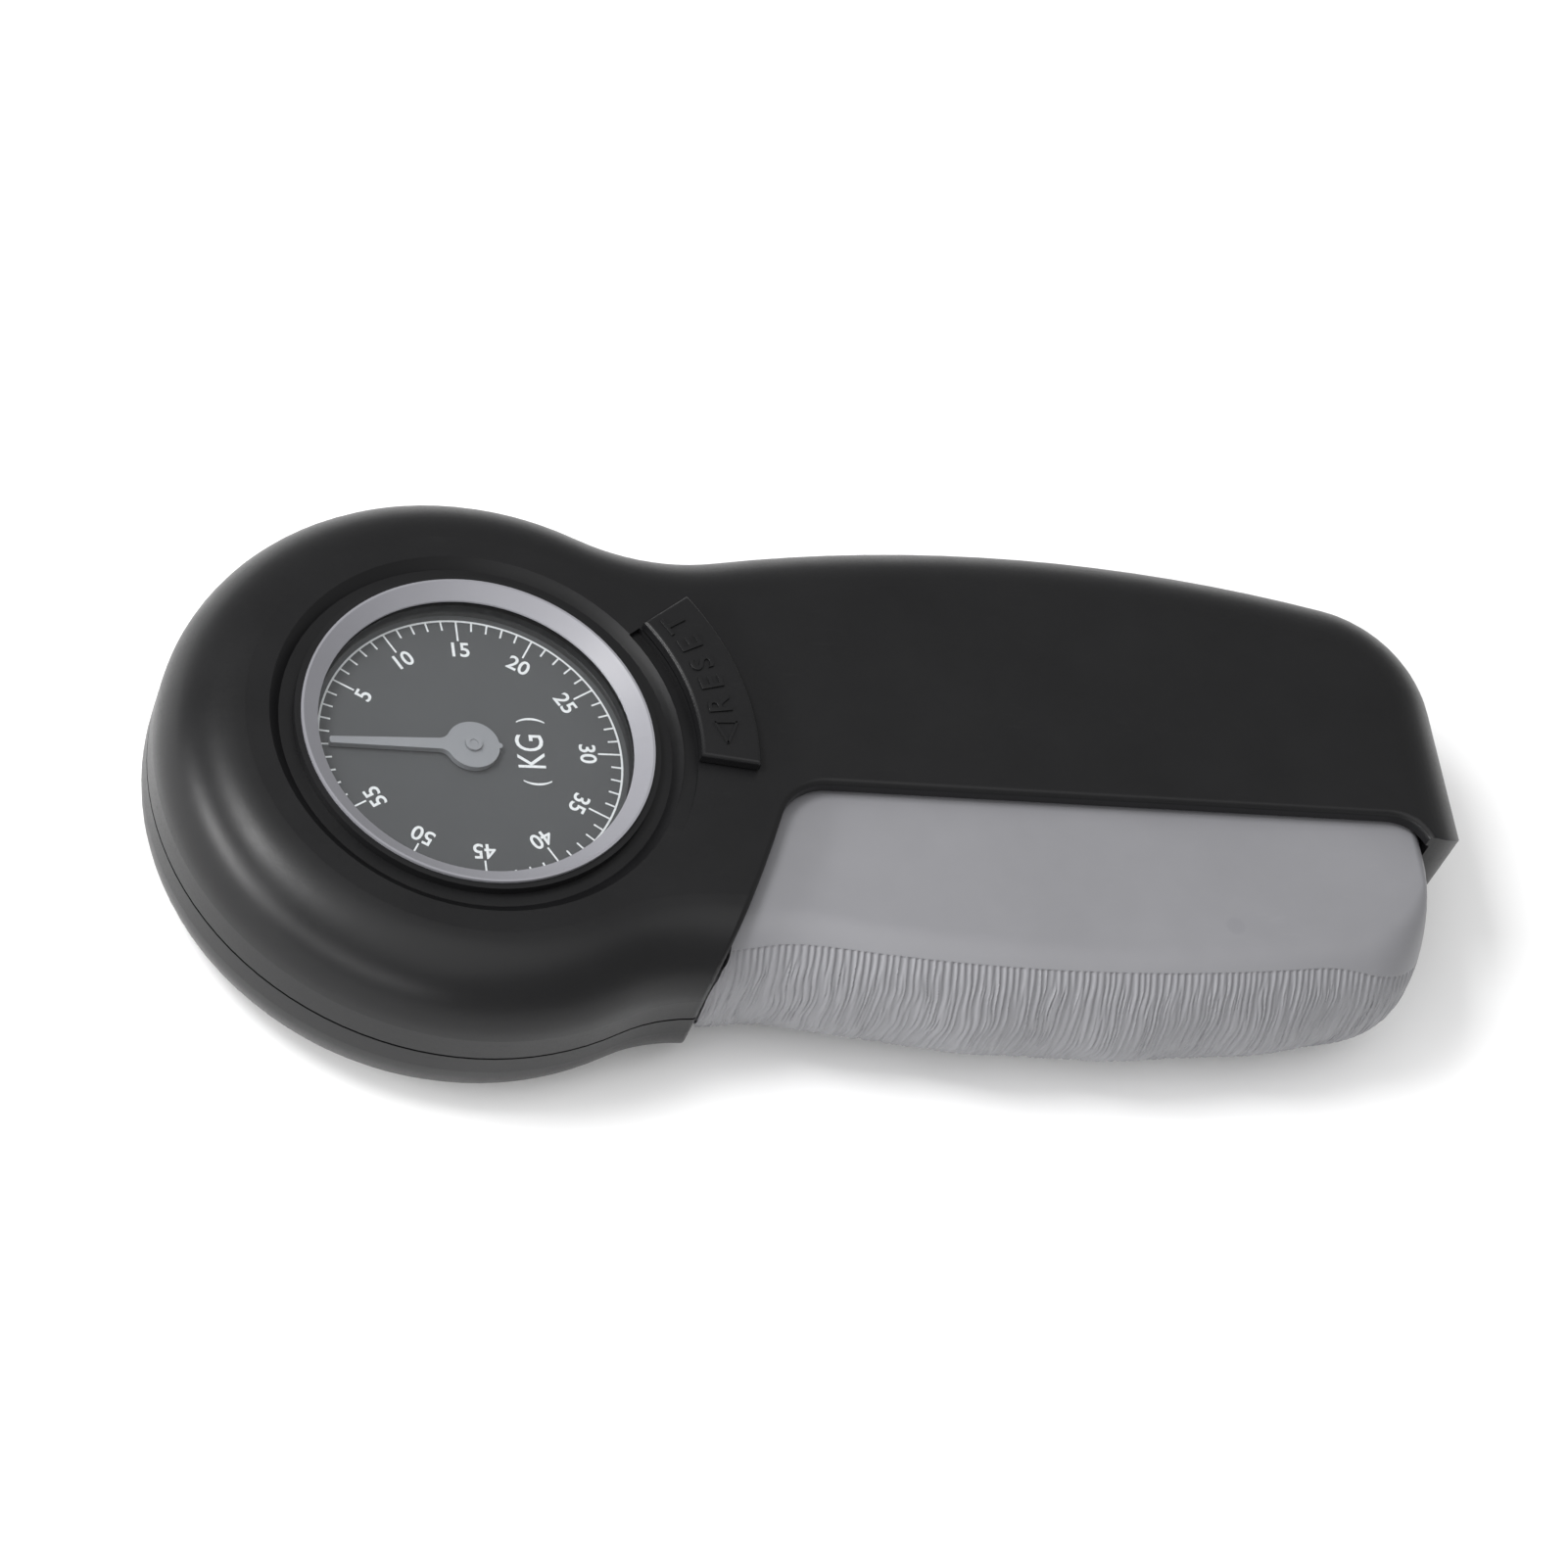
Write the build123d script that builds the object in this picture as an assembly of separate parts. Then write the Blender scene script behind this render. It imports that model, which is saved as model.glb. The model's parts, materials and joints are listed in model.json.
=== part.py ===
from build123d import *
import os
from math import atan2, cos, degrees, exp, hypot, pi, radians, sin, sqrt, tan

# Mechanical hand dynamometer with a round dial head and a squeeze handle, in millimetres.
# The origin is on the dial's axis at the flat back face. +X runs from the head to the tail,
# +Y towards the palm side of the handle, +Z out of the dial.

# ---------- case ----------
SEAM_Z = 14.0            # parting plane between the two shells
FRONT_Z = 28.1           # flat front of the case
WALL = 2.0
FRONT_ROUND = 10.0       # rounding of the front shell's outer edge
REAR_ROUND = 10.5        # rounding of the rear shell's outer edge
HEAD_R = 40.3
TAIL_X = 139.1
TAIL_CORNER_R = 18.5
# hollow of the neck, an arc tangent to the head on each side
PALM_NECK_X = 31.5
PALM_NECK_R = 28.0
PALM_NECK_CENTRE = (PALM_NECK_X, sqrt((HEAD_R + PALM_NECK_R) ** 2 - PALM_NECK_X**2))
FINGER_NECK_X = 28.0
FINGER_NECK_R = 23.3
FINGER_NECK_CENTRE = (FINGER_NECK_X, -sqrt((HEAD_R + FINGER_NECK_R) ** 2 - FINGER_NECK_X**2))
FINGER_Y = FINGER_NECK_CENTRE[1] + FINGER_NECK_R
# long arc of the palm side, tangent to the neck, with its crest at a given place
PALM_CREST = (74.0, 36.4)
PALM_REACH = PALM_CREST[0] - PALM_NECK_X
PALM_DROP = PALM_NECK_CENTRE[1] - PALM_CREST[1]
PALM_R = (PALM_REACH**2 + PALM_DROP**2 - PALM_NECK_R**2) / (2 * (PALM_NECK_R - PALM_DROP))
PALM_CENTRE = (PALM_CREST[0], PALM_CREST[1] - PALM_R)

# opening of the case for the squeeze grip, in plan
NECK_END = (24.7, -39.6)
NECK_CORNER = (27.5, -34.5)
SLANT_MIDDLE = (34.6, -21.5)
BROW_CORNER = (41.3, -6.0)
BROW_R = 7.5
TAIL_GAP_X = 131.5
TAIL_GAP_Y = -8.0
TAIL_GAP_R = 6.0
TAIL_LIP_Y = -11.3
TAIL_LIP_R = 7.0         # plan corner between the lip and the tail's end
FRONT_BROW_EDGE_R = 0.8
REAR_BROW_EDGE_R = 0.5
LIP_CENTRE = (TAIL_X - TAIL_LIP_R, TAIL_LIP_Y + TAIL_LIP_R)
SEAM_GROOVE_DEPTH = 0.3
SEAM_GROOVE_WIDTH = 0.35

# ---------- dial head ----------
DIAL_Z = 23.5            # printed face of the dial
DIAL_R = 22.4
DIAL_T = 0.6
WELL_R = 20.9            # black cylindrical wall between the lens and the dial
LENS_R = 22.9
LENS_T = 1.0
LENS_Z = 25.85
COLLAR_IN_R = 23.2
COLLAR_OUT_R = 24.0
COLLAR_TOP_Z = 28.2
GROOVE_R = 27.2          # groove round the bezel, its outer wall sloped
GROOVE_FLOOR_R = 25.8
GROOVE_Z = 26.9
RING_R = 27.7            # outer radius of the thick ring behind the groove
BEZEL_OUT_R = 23.15
BEZEL_IN_R = 20.75
BEZEL_TOP_Z = 28.6
BEZEL_LIP = 0.3
POINTER_Z = (23.75, 24.65)
POINTER_HUB_R = 3.5
POINTER_NUB_R = 0.4
POINTER_BOSS_R = 1.1
POINTER_BOSS_Z = 25.1

# ---------- reset slider ----------
SLIDER_IN_R = 29.0
SLIDER_OUT_R = 37.0
SLIDER_FROM = -7.5       # degrees about the dial's axis, at rest
SLIDER_TO = 35.5
SLIDER_Z = 28.4
SLIDER_T = 1.5
SLIDER_TRAVEL = 12.0
SHELF_R = 29.0
SHELF_DEPTH = 0.9
SHELF_FADE = -30.0
STEM_R = (30.0, 32.5)
STEM_FROM = 15.0
STEM_TO = 21.0
SLOT_GAP = 0.4
CLIP_R = (29.0, 33.2)
CLIP_FROM = 14.5
CLIP_TO = 40.0
CLIP_Z = (24.4, 25.8)
CAM_FROM = 30.0
CAM_R = (28.0, 29.9)
CAM_LOW_Z = 12.8
SPRING_POST_R = 29.9
SPRING_POST_ANGLE = 59.5

# ---------- squeeze grip ----------
GRIP_TOP_Z = 25.3
GRIP_LOW_Z = 2.7
GRIP_FROM_X = 28.5
GRIP_TO_X = 131.0
GRIP_INNER_Y = -3.0      # edge of the flat faces inside the case
GRIP_WALL = 2.0
GRIP_CURVE = 9.0         # depth in Y of the finger side's elliptical section
GRIP_CREST = (84.0, -36.8)
GRIP_FALL = 0.0025       # how fast the finger side falls away from its crest, per mm
NECK_FLARE = 3.5         # extra bulge where the grip meets the neck
NECK_FLARE_X = 8.0
WAVE_PITCH = 21.0
WAVE_X = 44.6
WAVE_HEIGHT = 0.35
GRIP_CORNER_R = 10.0
GRIP_HOLLOW_TO_X = 126.0
GRIP_HIDDEN = 2.5        # overlap under the slanted edge of the case
# clearance to the case's rounded inner walls at the neck, through the grip and at its rear
NECK_RELIEF = [(25.0, -29.4), (25.0, -34.6), (27.9, -34.6), (31.0, -29.4)]
REAR_RELIEF = [(25.0, -26.4), (25.0, -34.6), (27.9, -34.6), (32.6, -26.4)]
REAR_RELIEF_Z = 6.0

# ---------- guide rods, springs, carriage ----------
ROD_X = (55.0, 110.0)
ROD_Z = SEAM_Z
ROD_R = 3.0
ROD_Y = (-16.5, 29.0)
ANCHOR_Y = (25.0, 29.0)
ANCHOR_HALF = 7.0
SEAT_T = 1.0
SEAT_R = 7.0
SPRING_R = 5.0
SPRING_WIRE_R = 0.95
SPRING_TURNS = 8.0
CARRIAGE_X = (47.5, 125.5)
CARRIAGE_Y = (-25.0, -20.0)
CARRIAGE_Z = (5.6, 22.4)
SHELF_FOOT = (32.5, -18.0)
TUBE_R = 6.5
TUBE_END_Y = -10.0
BUSH_R = 4.2
BUSH_CLEARANCE = 0.05
BUSH_LENGTH = 6.0
GRIP_SCREW_X = (67.0, 95.0, 121.0)

# ---------- rack and movement ----------
MODULE = 0.5
PINION_TEETH = 10
RACK_ADDENDUM = 0.28
BACKLASH = 0.1
PRESSURE_ANGLE = radians(20)
PITCH_R = MODULE * PINION_TEETH / 2
TOOTH_PITCH = pi * MODULE
RACK_Z = (9.0, 11.0)
RACK_BACK_X = -6.5
RACK_ARM_Y = (-24.0, -19.4)
RACK_TOP_Y = 3.6
RACK_FOOT_X = 46.0
RACK_SCREW_X = (36.0, 42.0)
BRIDGE_Z = (5.5, 7.0)
BRIDGE_R = 21.0
PLATE_Z = (21.4, 22.9)
PLATE_R = 26.0
PILLAR_R = 19.0
PILLAR_ANGLES = (45, 135, 215)
EAR_R = 31.0
EAR_ANGLES = (110, 200, 300)
SPINDLE_R = 1.06
SPINDLE_Z = (4.8, 24.4)
RUNNING = 0.04
DISC_R = 9.0
DISC_Z = (13.2, 14.2)
BRAKE_PIVOT = (20.0, 4.0)
BRAKE_Z = (13.0, 14.6)
BRAKE_TAIL_R = 28.9
BRAKE_TAIL_ANGLE = 18.0
SHOE_ANGLE = 40.0
SHOE_R = (9.15, 10.4)    # from just off the drag disc to its seat on the lever
SHOE_WIDTH = 2.2

# ---------- fasteners ----------
CASE_SCREWS = [
    (EAR_R * cos(radians(70)), EAR_R * sin(radians(70))),
    (EAR_R * cos(radians(150)), EAR_R * sin(radians(150))),
    (EAR_R * cos(radians(255)), EAR_R * sin(radians(255))),
    (43.5, 25.5),
    (82.5, 28.0),
    (130.0, 17.6),
]
CASE_SCREW_R = 1.4
CASE_BOSS_R = 3.2


# ---------- small helpers ----------
def polar(radius, angle):
    return (radius * cos(radians(angle)), radius * sin(radians(angle)))


def angle_of(point, centre):
    return degrees(atan2(point[1] - centre[1], point[0] - centre[0]))


def arc_between(centre, radius, start, end, anticlockwise=True):
    """Arc of a circle from the direction of one point to the direction of another."""
    first = angle_of(start, centre)
    last = angle_of(end, centre)
    if anticlockwise:
        size = (last - first) % 360
    else:
        size = -((first - last) % 360)
    return CenterArc(centre, radius, first, size)


def towards(origin, target, distance):
    """Point at a distance from origin on the line to target."""
    length = hypot(target[0] - origin[0], target[1] - origin[1])
    step = distance / length
    return (origin[0] + (target[0] - origin[0]) * step, origin[1] + (target[1] - origin[1]) * step)


def disc(radius, low, high, x=0.0, y=0.0):
    return Pos(x, y, low) * extrude(Circle(radius), high - low)


def ring(inner, outer, low, high, x=0.0, y=0.0):
    return disc(outer, low, high, x, y) - disc(inner, low - 1, high + 1, x, y)


def block(x, y, z):
    """Box between two limits on each axis."""
    size = Box(x[1] - x[0], y[1] - y[0], z[1] - z[0])
    return Pos((x[0] + x[1]) / 2, (y[0] + y[1]) / 2, (z[0] + z[1]) / 2) * size


def rod_y(radius, low, high, x, z):
    """Cylinder along Y between two limits."""
    return Pos(x, low, z) * Rot(-90, 0, 0) * extrude(Circle(radius), high - low)


def sector(inner, outer, start, end, low, high):
    """Part of a flat ring about the dial's axis, between two angles."""
    lines = Curve() + [
        CenterArc((0, 0), outer, start, end - start),
        Line(polar(outer, end), polar(inner, end)),
        CenterArc((0, 0), inner, end, start - end),
        Line(polar(inner, start), polar(outer, start)),
    ]
    return Pos(0, 0, low) * extrude(make_face(lines), high - low)


def polygon(points, low, high):
    return Pos(0, 0, low) * extrude(make_face(Polyline(points, close=True)), high - low)


def round_upright(prism, corner, radius):
    """Round the upright edge of a prism that stands at a corner."""
    upright = prism.edges().filter_by(Axis.Z)
    nearest = min(upright, key=lambda e: hypot((e @ 0).X - corner[0], (e @ 0).Y - corner[1]))
    return fillet(nearest, radius)


def group(solids):
    return Compound(children=list(solids))


def helix_spring(radius, wire_r, turns, length):
    """Round-wire spring along +Z that starts and ends just inside its length."""
    height = length - 2 * wire_r
    path = Helix(pitch=height / turns, height=height, radius=radius)
    section = Plane(origin=path @ 0, z_dir=path % 0) * Circle(wire_r)
    return Pos(0, 0, wire_r) * sweep(section, path=path)


# ---------- case ----------
def case_outline(inset=0.0):
    """Plan of the whole case, with the finger side closed by a straight line, inset by a margin."""
    head_r = HEAD_R - inset
    finger_y = FINGER_Y + inset
    tail_x = TAIL_X - inset
    corner_r = TAIL_CORNER_R - inset
    palm_neck_start = towards((0, 0), PALM_NECK_CENTRE, head_r)
    finger_neck_start = towards((0, 0), FINGER_NECK_CENTRE, head_r)
    palm_start = towards(PALM_NECK_CENTRE, PALM_CENTRE, PALM_NECK_R + inset)
    corner_x = TAIL_X - TAIL_CORNER_R
    reach = PALM_R - TAIL_CORNER_R
    corner_y = PALM_CENTRE[1] + sqrt(reach**2 - (corner_x - PALM_CENTRE[0]) ** 2)
    palm_corner = (corner_x, corner_y)
    palm_end = towards(PALM_CENTRE, palm_corner, PALM_R - inset)
    low_corner = (corner_x, FINGER_Y + TAIL_CORNER_R)
    finger_neck_end = (FINGER_NECK_CENTRE[0], finger_y)
    lines = Curve() + [
        arc_between((0, 0), head_r, palm_neck_start, finger_neck_start),
        arc_between(
            FINGER_NECK_CENTRE, FINGER_NECK_R + inset, finger_neck_start, finger_neck_end, False
        ),
        Line(finger_neck_end, (corner_x, finger_y)),
        CenterArc(low_corner, corner_r, -90, 90),
        Line((tail_x, low_corner[1]), (tail_x, corner_y)),
        arc_between(palm_corner, corner_r, (tail_x, corner_y), palm_end),
        arc_between(PALM_CENTRE, PALM_R - inset, palm_end, palm_start),
        arc_between(PALM_NECK_CENTRE, PALM_NECK_R + inset, palm_start, palm_neck_start, False),
    ]
    return make_face(lines)


def grip_opening(low, high):
    """Space outside the case's cut edge, where the squeeze grip shows."""
    far = -60.0
    gap_corner = (TAIL_GAP_X, TAIL_GAP_Y)
    sides = Polyline(BROW_CORNER, gap_corner, (TAIL_GAP_X, far), (NECK_END[0], far), NECK_END)
    slant = ThreePointArc(NECK_END, SLANT_MIDDLE, BROW_CORNER)
    prism = Pos(0, 0, low) * extrude(make_face(Curve() + [slant, sides]), high - low)
    prism = round_upright(prism, BROW_CORNER, BROW_R)
    prism = round_upright(prism, gap_corner, TAIL_GAP_R)
    prism += block((TAIL_GAP_X - TAIL_GAP_R, TAIL_X + 10), (far, TAIL_LIP_Y), (low, high))
    outside = block((LIP_CENTRE[0], TAIL_X + 1), (TAIL_LIP_Y - 1, LIP_CENTRE[1]), (low, high))
    return prism + (outside - disc(TAIL_LIP_R, low, high, *LIP_CENTRE))


def half_shell(outer_z, edge_round):
    """Hollow half of the case between the seam and one flat face, before its details."""
    up = 1 if outer_z > SEAM_Z else -1
    outer = Pos(0, 0, SEAM_Z) * extrude(case_outline(), up * abs(outer_z - SEAM_Z))
    outer = fillet(outer.faces().sort_by(Axis.Z)[-1 if up > 0 else 0].edges(), edge_round)
    depth = abs(outer_z - SEAM_Z) - WALL + 1
    inner = Pos(0, 0, SEAM_Z - up) * extrude(case_outline(WALL), up * depth)
    inner = fillet(inner.faces().sort_by(Axis.Z)[-1 if up > 0 else 0].edges(), edge_round - WALL)
    return outer, outer - inner


def lip_wall(low, high):
    """Wall that closes the tail beside the grip's opening and follows its rounded corner."""
    corner = block((TAIL_GAP_X, TAIL_X), (TAIL_LIP_Y, LIP_CENTRE[1]), (low, high))
    corner -= disc(TAIL_LIP_R - WALL, low, high, *LIP_CENTRE)
    room_y = (TAIL_LIP_Y + WALL, LIP_CENTRE[1])
    return corner - block((TAIL_GAP_X, LIP_CENTRE[0]), room_y, (low, high))


def anchor(low, high):
    """Blocks that clamp the palm ends of the guide rods."""
    return [block((x - ANCHOR_HALF, x + ANCHOR_HALF), ANCHOR_Y, (low, high)) for x in ROD_X]


def make_front_shell():
    outer, shell = half_shell(FRONT_Z, FRONT_ROUND)
    shell += disc(RING_R, DIAL_Z, FRONT_Z - 1)
    for x, y in CASE_SCREWS:
        shell += disc(CASE_BOSS_R, SEAM_Z, FRONT_Z - 1, x, y) & outer
    for angle in EAR_ANGLES:
        shell += disc(2.8, PLATE_Z[1], FRONT_Z - 1, *polar(EAR_R, angle))
    for wall in anchor(SEAM_Z, FRONT_Z - 1) + [lip_wall(SEAM_Z, FRONT_Z)]:
        shell += wall & outer
    shell += disc(COLLAR_OUT_R, FRONT_Z - 1, COLLAR_TOP_Z)
    shell -= disc(WELL_R, DIAL_Z - 1, FRONT_Z + 1)
    shell -= disc(COLLAR_IN_R, LENS_Z, FRONT_Z + 1)
    shell -= bezel_groove()
    shell -= sector(
        STEM_R[0] - SLOT_GAP,
        STEM_R[1] + SLOT_GAP,
        STEM_FROM - SLIDER_TRAVEL - 1,
        STEM_TO + 1,
        FRONT_Z - 3,
        FRONT_Z + 1,
    )
    shell -= fading_shelf()
    for x, y in CASE_SCREWS:
        shell -= disc(CASE_SCREW_R, SEAM_Z - 1, FRONT_Z - 4, x, y)
    for angle in EAR_ANGLES:
        shell -= disc(0.9, PLATE_Z[1] - 1, FRONT_Z - 1.5, *polar(EAR_R, angle))
    for x in ROD_X:
        shell -= rod_y(ROD_R, ROD_Y[0], ROD_Y[1], x, ROD_Z)
    shell -= grip_opening(SEAM_Z - 1, FRONT_Z + 1)
    return soften_brow(shell, FRONT_Z, FRONT_BROW_EDGE_R)


def bezel_groove():
    """Space of the shallow groove that frames the bezel."""
    profile = Polyline(
        (COLLAR_OUT_R, GROOVE_Z),
        (GROOVE_FLOOR_R, GROOVE_Z),
        (GROOVE_R, FRONT_Z),
        (GROOVE_R, FRONT_Z + 1),
        (COLLAR_OUT_R, FRONT_Z + 1),
        close=True,
    )
    return revolve(Plane.XZ * make_face(profile), Axis.Z)


def soften_brow(shell, brow_z, radius):
    """Round the outer edge that runs over the squeeze grip."""
    middle_x = (BROW_CORNER[0] + TAIL_GAP_X) / 2
    middle_y = (BROW_CORNER[1] + TAIL_GAP_Y) / 2
    brow = shell.edges().sort_by_distance((middle_x, middle_y, brow_z))[0]
    return fillet(brow, radius)


def fading_shelf():
    """Shallow step inside the slider's arc, deepest at its palm end and fading out below."""
    cutter = sector(GROOVE_R - 0.1, SHELF_R, SHELF_FADE - 20, SLIDER_TO + 0.5, 0, 6)
    span = SHELF_R * sin(radians(SLIDER_TO - SHELF_FADE))
    tilt = degrees(atan2(SHELF_DEPTH, span))
    hinge = Pos(0, 0, FRONT_Z) * Rot(0, 0, SHELF_FADE) * Rot(-tilt, 0, 0) * Rot(0, 0, -SHELF_FADE)
    return hinge * cutter


def make_rear_shell():
    outer, shell = half_shell(0.0, REAR_ROUND)
    for x, y in CASE_SCREWS:
        shell += disc(CASE_BOSS_R + 0.6, 1, SEAM_Z, x, y) & outer
    for wall in anchor(1, SEAM_Z) + [lip_wall(0, SEAM_Z)]:
        shell += wall & outer
    for x, y in CASE_SCREWS:
        shell -= disc(CASE_SCREW_R + 0.2, -1, SEAM_Z + 1, x, y)
        shell -= disc(2.9, -1, 5, x, y)
    for x in ROD_X:
        shell -= rod_y(ROD_R, ROD_Y[0], ROD_Y[1], x, ROD_Z)
    rim = case_outline() - case_outline(SEAM_GROOVE_DEPTH)
    shell -= Pos(0, 0, SEAM_Z - SEAM_GROOVE_WIDTH) * extrude(rim, SEAM_GROOVE_WIDTH)
    shell -= grip_opening(-1, SEAM_Z + 1)
    return soften_brow(shell, 0.0, REAR_BROW_EDGE_R)


def make_case_screws():
    screws = []
    for x, y in CASE_SCREWS:
        shank = disc(CASE_SCREW_R, 5, SEAM_Z + 8, x, y)
        head = disc(2.7, 2.8, 5, x, y)
        recess = disc(1.1, 2.5, 4, x, y)
        screws.append(shank + head - recess)
    return group(screws)


# ---------- dial ----------
def make_bezel():
    profile = Polyline(
        (BEZEL_IN_R, LENS_Z + LENS_T),
        (BEZEL_IN_R, LENS_Z + LENS_T + BEZEL_LIP),
        (BEZEL_OUT_R - BEZEL_LIP, BEZEL_TOP_Z),
        (BEZEL_OUT_R, BEZEL_TOP_Z),
        (BEZEL_OUT_R, LENS_Z + LENS_T),
        close=True,
    )
    return revolve(Plane.XZ * make_face(profile), Axis.Z)


def make_lens():
    return disc(LENS_R, LENS_Z, LENS_Z + LENS_T)


def make_dial_plate():
    return ring(1.6, DIAL_R, DIAL_Z - DIAL_T, DIAL_Z)


def make_pointer():
    """Hub and a slim blade that points to zero, on the -X side, with a boss over the spindle."""
    low, high = POINTER_Z
    root = (-3.0, 0.85)
    tip = (-18.8, 0.5)
    blade = polygon([root, tip, (tip[0], -tip[1]), (root[0], -root[1])], low, high)
    body = disc(POINTER_HUB_R, low, high) + blade
    junction_x = -sqrt(POINTER_HUB_R**2 - root[1] ** 2)
    for side in (1, -1):
        body = round_upright(body, (junction_x, side * root[1]), 1.6)
        body = round_upright(body, (tip[0], side * tip[1]), 0.3)
    body += disc(POINTER_NUB_R, low, high, POINTER_HUB_R, 0)
    body += disc(POINTER_BOSS_R, high, POINTER_BOSS_Z)
    dimple = disc(POINTER_BOSS_R / 2, POINTER_BOSS_Z - 0.15, POINTER_BOSS_Z)
    return body - dimple - disc(SPINDLE_R, low - 1, SPINDLE_Z[1])


# ---------- reset slider ----------
def make_reset_slider():
    top = SLIDER_Z + SLIDER_T
    plate = sector(SLIDER_IN_R, SLIDER_OUT_R, SLIDER_FROM, SLIDER_TO, SLIDER_Z, top)
    rim = [e for e in plate.faces().sort_by(Axis.Z)[-1].edges() if e.length > 5]
    plate = fillet(rim, 0.5)
    stem = sector(*STEM_R, STEM_FROM, STEM_TO, CLIP_Z[1], SLIDER_Z)
    x, y = polar(sum(STEM_R) / 2, (STEM_FROM + STEM_TO) / 2)
    return plate + stem - disc(0.7, CLIP_Z[1] - 1, SLIDER_Z - 0.3, x, y)


def make_reset_clip():
    """Arc plate behind the front shell, with the leg that pushes the brake lever."""
    plate = sector(*CLIP_R, CLIP_FROM, CLIP_TO, *CLIP_Z)
    x, y = polar(sum(STEM_R) / 2, (STEM_FROM + STEM_TO) / 2)
    plate -= disc(0.8, CLIP_Z[0] - 1, CLIP_Z[1] + 1, x, y)
    return plate + sector(*CAM_R, CAM_FROM, CLIP_TO, CAM_LOW_Z, CLIP_Z[0])


def make_clip_screw():
    x, y = polar(sum(STEM_R) / 2, (STEM_FROM + STEM_TO) / 2)
    return disc(1.4, CLIP_Z[0] - 0.8, CLIP_Z[0], x, y) + disc(0.7, CLIP_Z[0], SLIDER_Z - 0.5, x, y)


def make_reset_spring():
    """Small tension spring from the clip to a post on the front shell."""
    start = polar(31.0, CLIP_TO + 1.0)
    end = polar(SPRING_POST_R, SPRING_POST_ANGLE - 2.5)
    length = hypot(end[0] - start[0], end[1] - start[1])
    spring = helix_spring(1.2, 0.25, 7, length)
    heading = degrees(atan2(end[1] - start[1], end[0] - start[0]))
    return Pos(start[0], start[1], 24.1) * Rot(0, 0, heading) * Rot(0, 90, 0) * spring


def make_spring_post():
    return disc(0.9, 22.6, FRONT_Z - WALL, *polar(SPRING_POST_R, SPRING_POST_ANGLE))


# ---------- squeeze grip ----------
def crest_y(x):
    """Outermost Y of the finger side at a place along the grip, with the finger waves."""
    fall = GRIP_FALL * (x - GRIP_CREST[0]) ** 2
    flare = NECK_FLARE * exp(-(((x - GRIP_FROM_X) / NECK_FLARE_X) ** 2))
    wave = WAVE_HEIGHT * cos(2 * pi * (x - WAVE_X) / WAVE_PITCH)
    return GRIP_CREST[1] + fall - flare - wave


def grip_section(x, inset=0.0):
    """Closed section of the grip at one place along X, with an elliptical finger side."""
    high_z = GRIP_TOP_Z - inset
    low_z = GRIP_LOW_Z + inset
    half = (high_z - low_z) / 2
    depth = GRIP_CURVE - inset
    start_y = crest_y(x) + GRIP_CURVE
    nose = []
    for step in range(7):
        turn = radians(90 - 30 * step)
        nose.append((x, start_y - depth * cos(turn), SEAM_Z + half * sin(turn)))
    high = (x, GRIP_INNER_Y + inset, high_z)
    low = (x, GRIP_INNER_Y + inset, low_z)
    lines = Curve() + [
        Line(high, nose[0]),
        Spline(*nose, tangents=[(0, -1, 0), (0, 1, 0)]),
        Line(nose[-1], low),
        Line(low, high),
    ]
    return make_face(lines)


def grip_loft(from_x, to_x, inset=0.0):
    count = 20
    step = (to_x - from_x) / count
    return loft([grip_section(from_x + step * n, inset) for n in range(count + 1)])


def grip_plan():
    """Rounded plan that trims the lofted grip at its tail end and under the slanted edge."""
    slope = (BROW_CORNER[0] - NECK_CORNER[0], BROW_CORNER[1] - NECK_CORNER[1])
    length = hypot(*slope)
    shift = (-slope[1] / length * GRIP_HIDDEN, slope[0] / length * GRIP_HIDDEN)
    low = (NECK_CORNER[0] + shift[0], NECK_CORNER[1] + shift[1])
    rise = (GRIP_INNER_Y - low[1]) / slope[1]
    points = [
        (GRIP_FROM_X, -45),
        (GRIP_FROM_X, low[1] + (GRIP_FROM_X - low[0]) * slope[1] / slope[0]),
        (low[0] + slope[0] * rise, GRIP_INNER_Y),
        (GRIP_TO_X, GRIP_INNER_Y),
        (GRIP_TO_X, -45),
    ]
    prism = polygon(points, GRIP_LOW_Z, GRIP_TOP_Z)
    corner = (GRIP_TO_X - GRIP_CORNER_R, crest_y(GRIP_TO_X - GRIP_CORNER_R) + GRIP_CORNER_R)
    outside = block((corner[0], GRIP_TO_X + 1), (-46, corner[1]), (GRIP_LOW_Z, GRIP_TOP_Z))
    outside -= disc(GRIP_CORNER_R, GRIP_LOW_Z, GRIP_TOP_Z, *corner)
    prism -= polygon(NECK_RELIEF, GRIP_LOW_Z, GRIP_TOP_Z)
    return prism - outside - polygon(REAR_RELIEF, GRIP_LOW_Z, REAR_RELIEF_Z)


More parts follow.
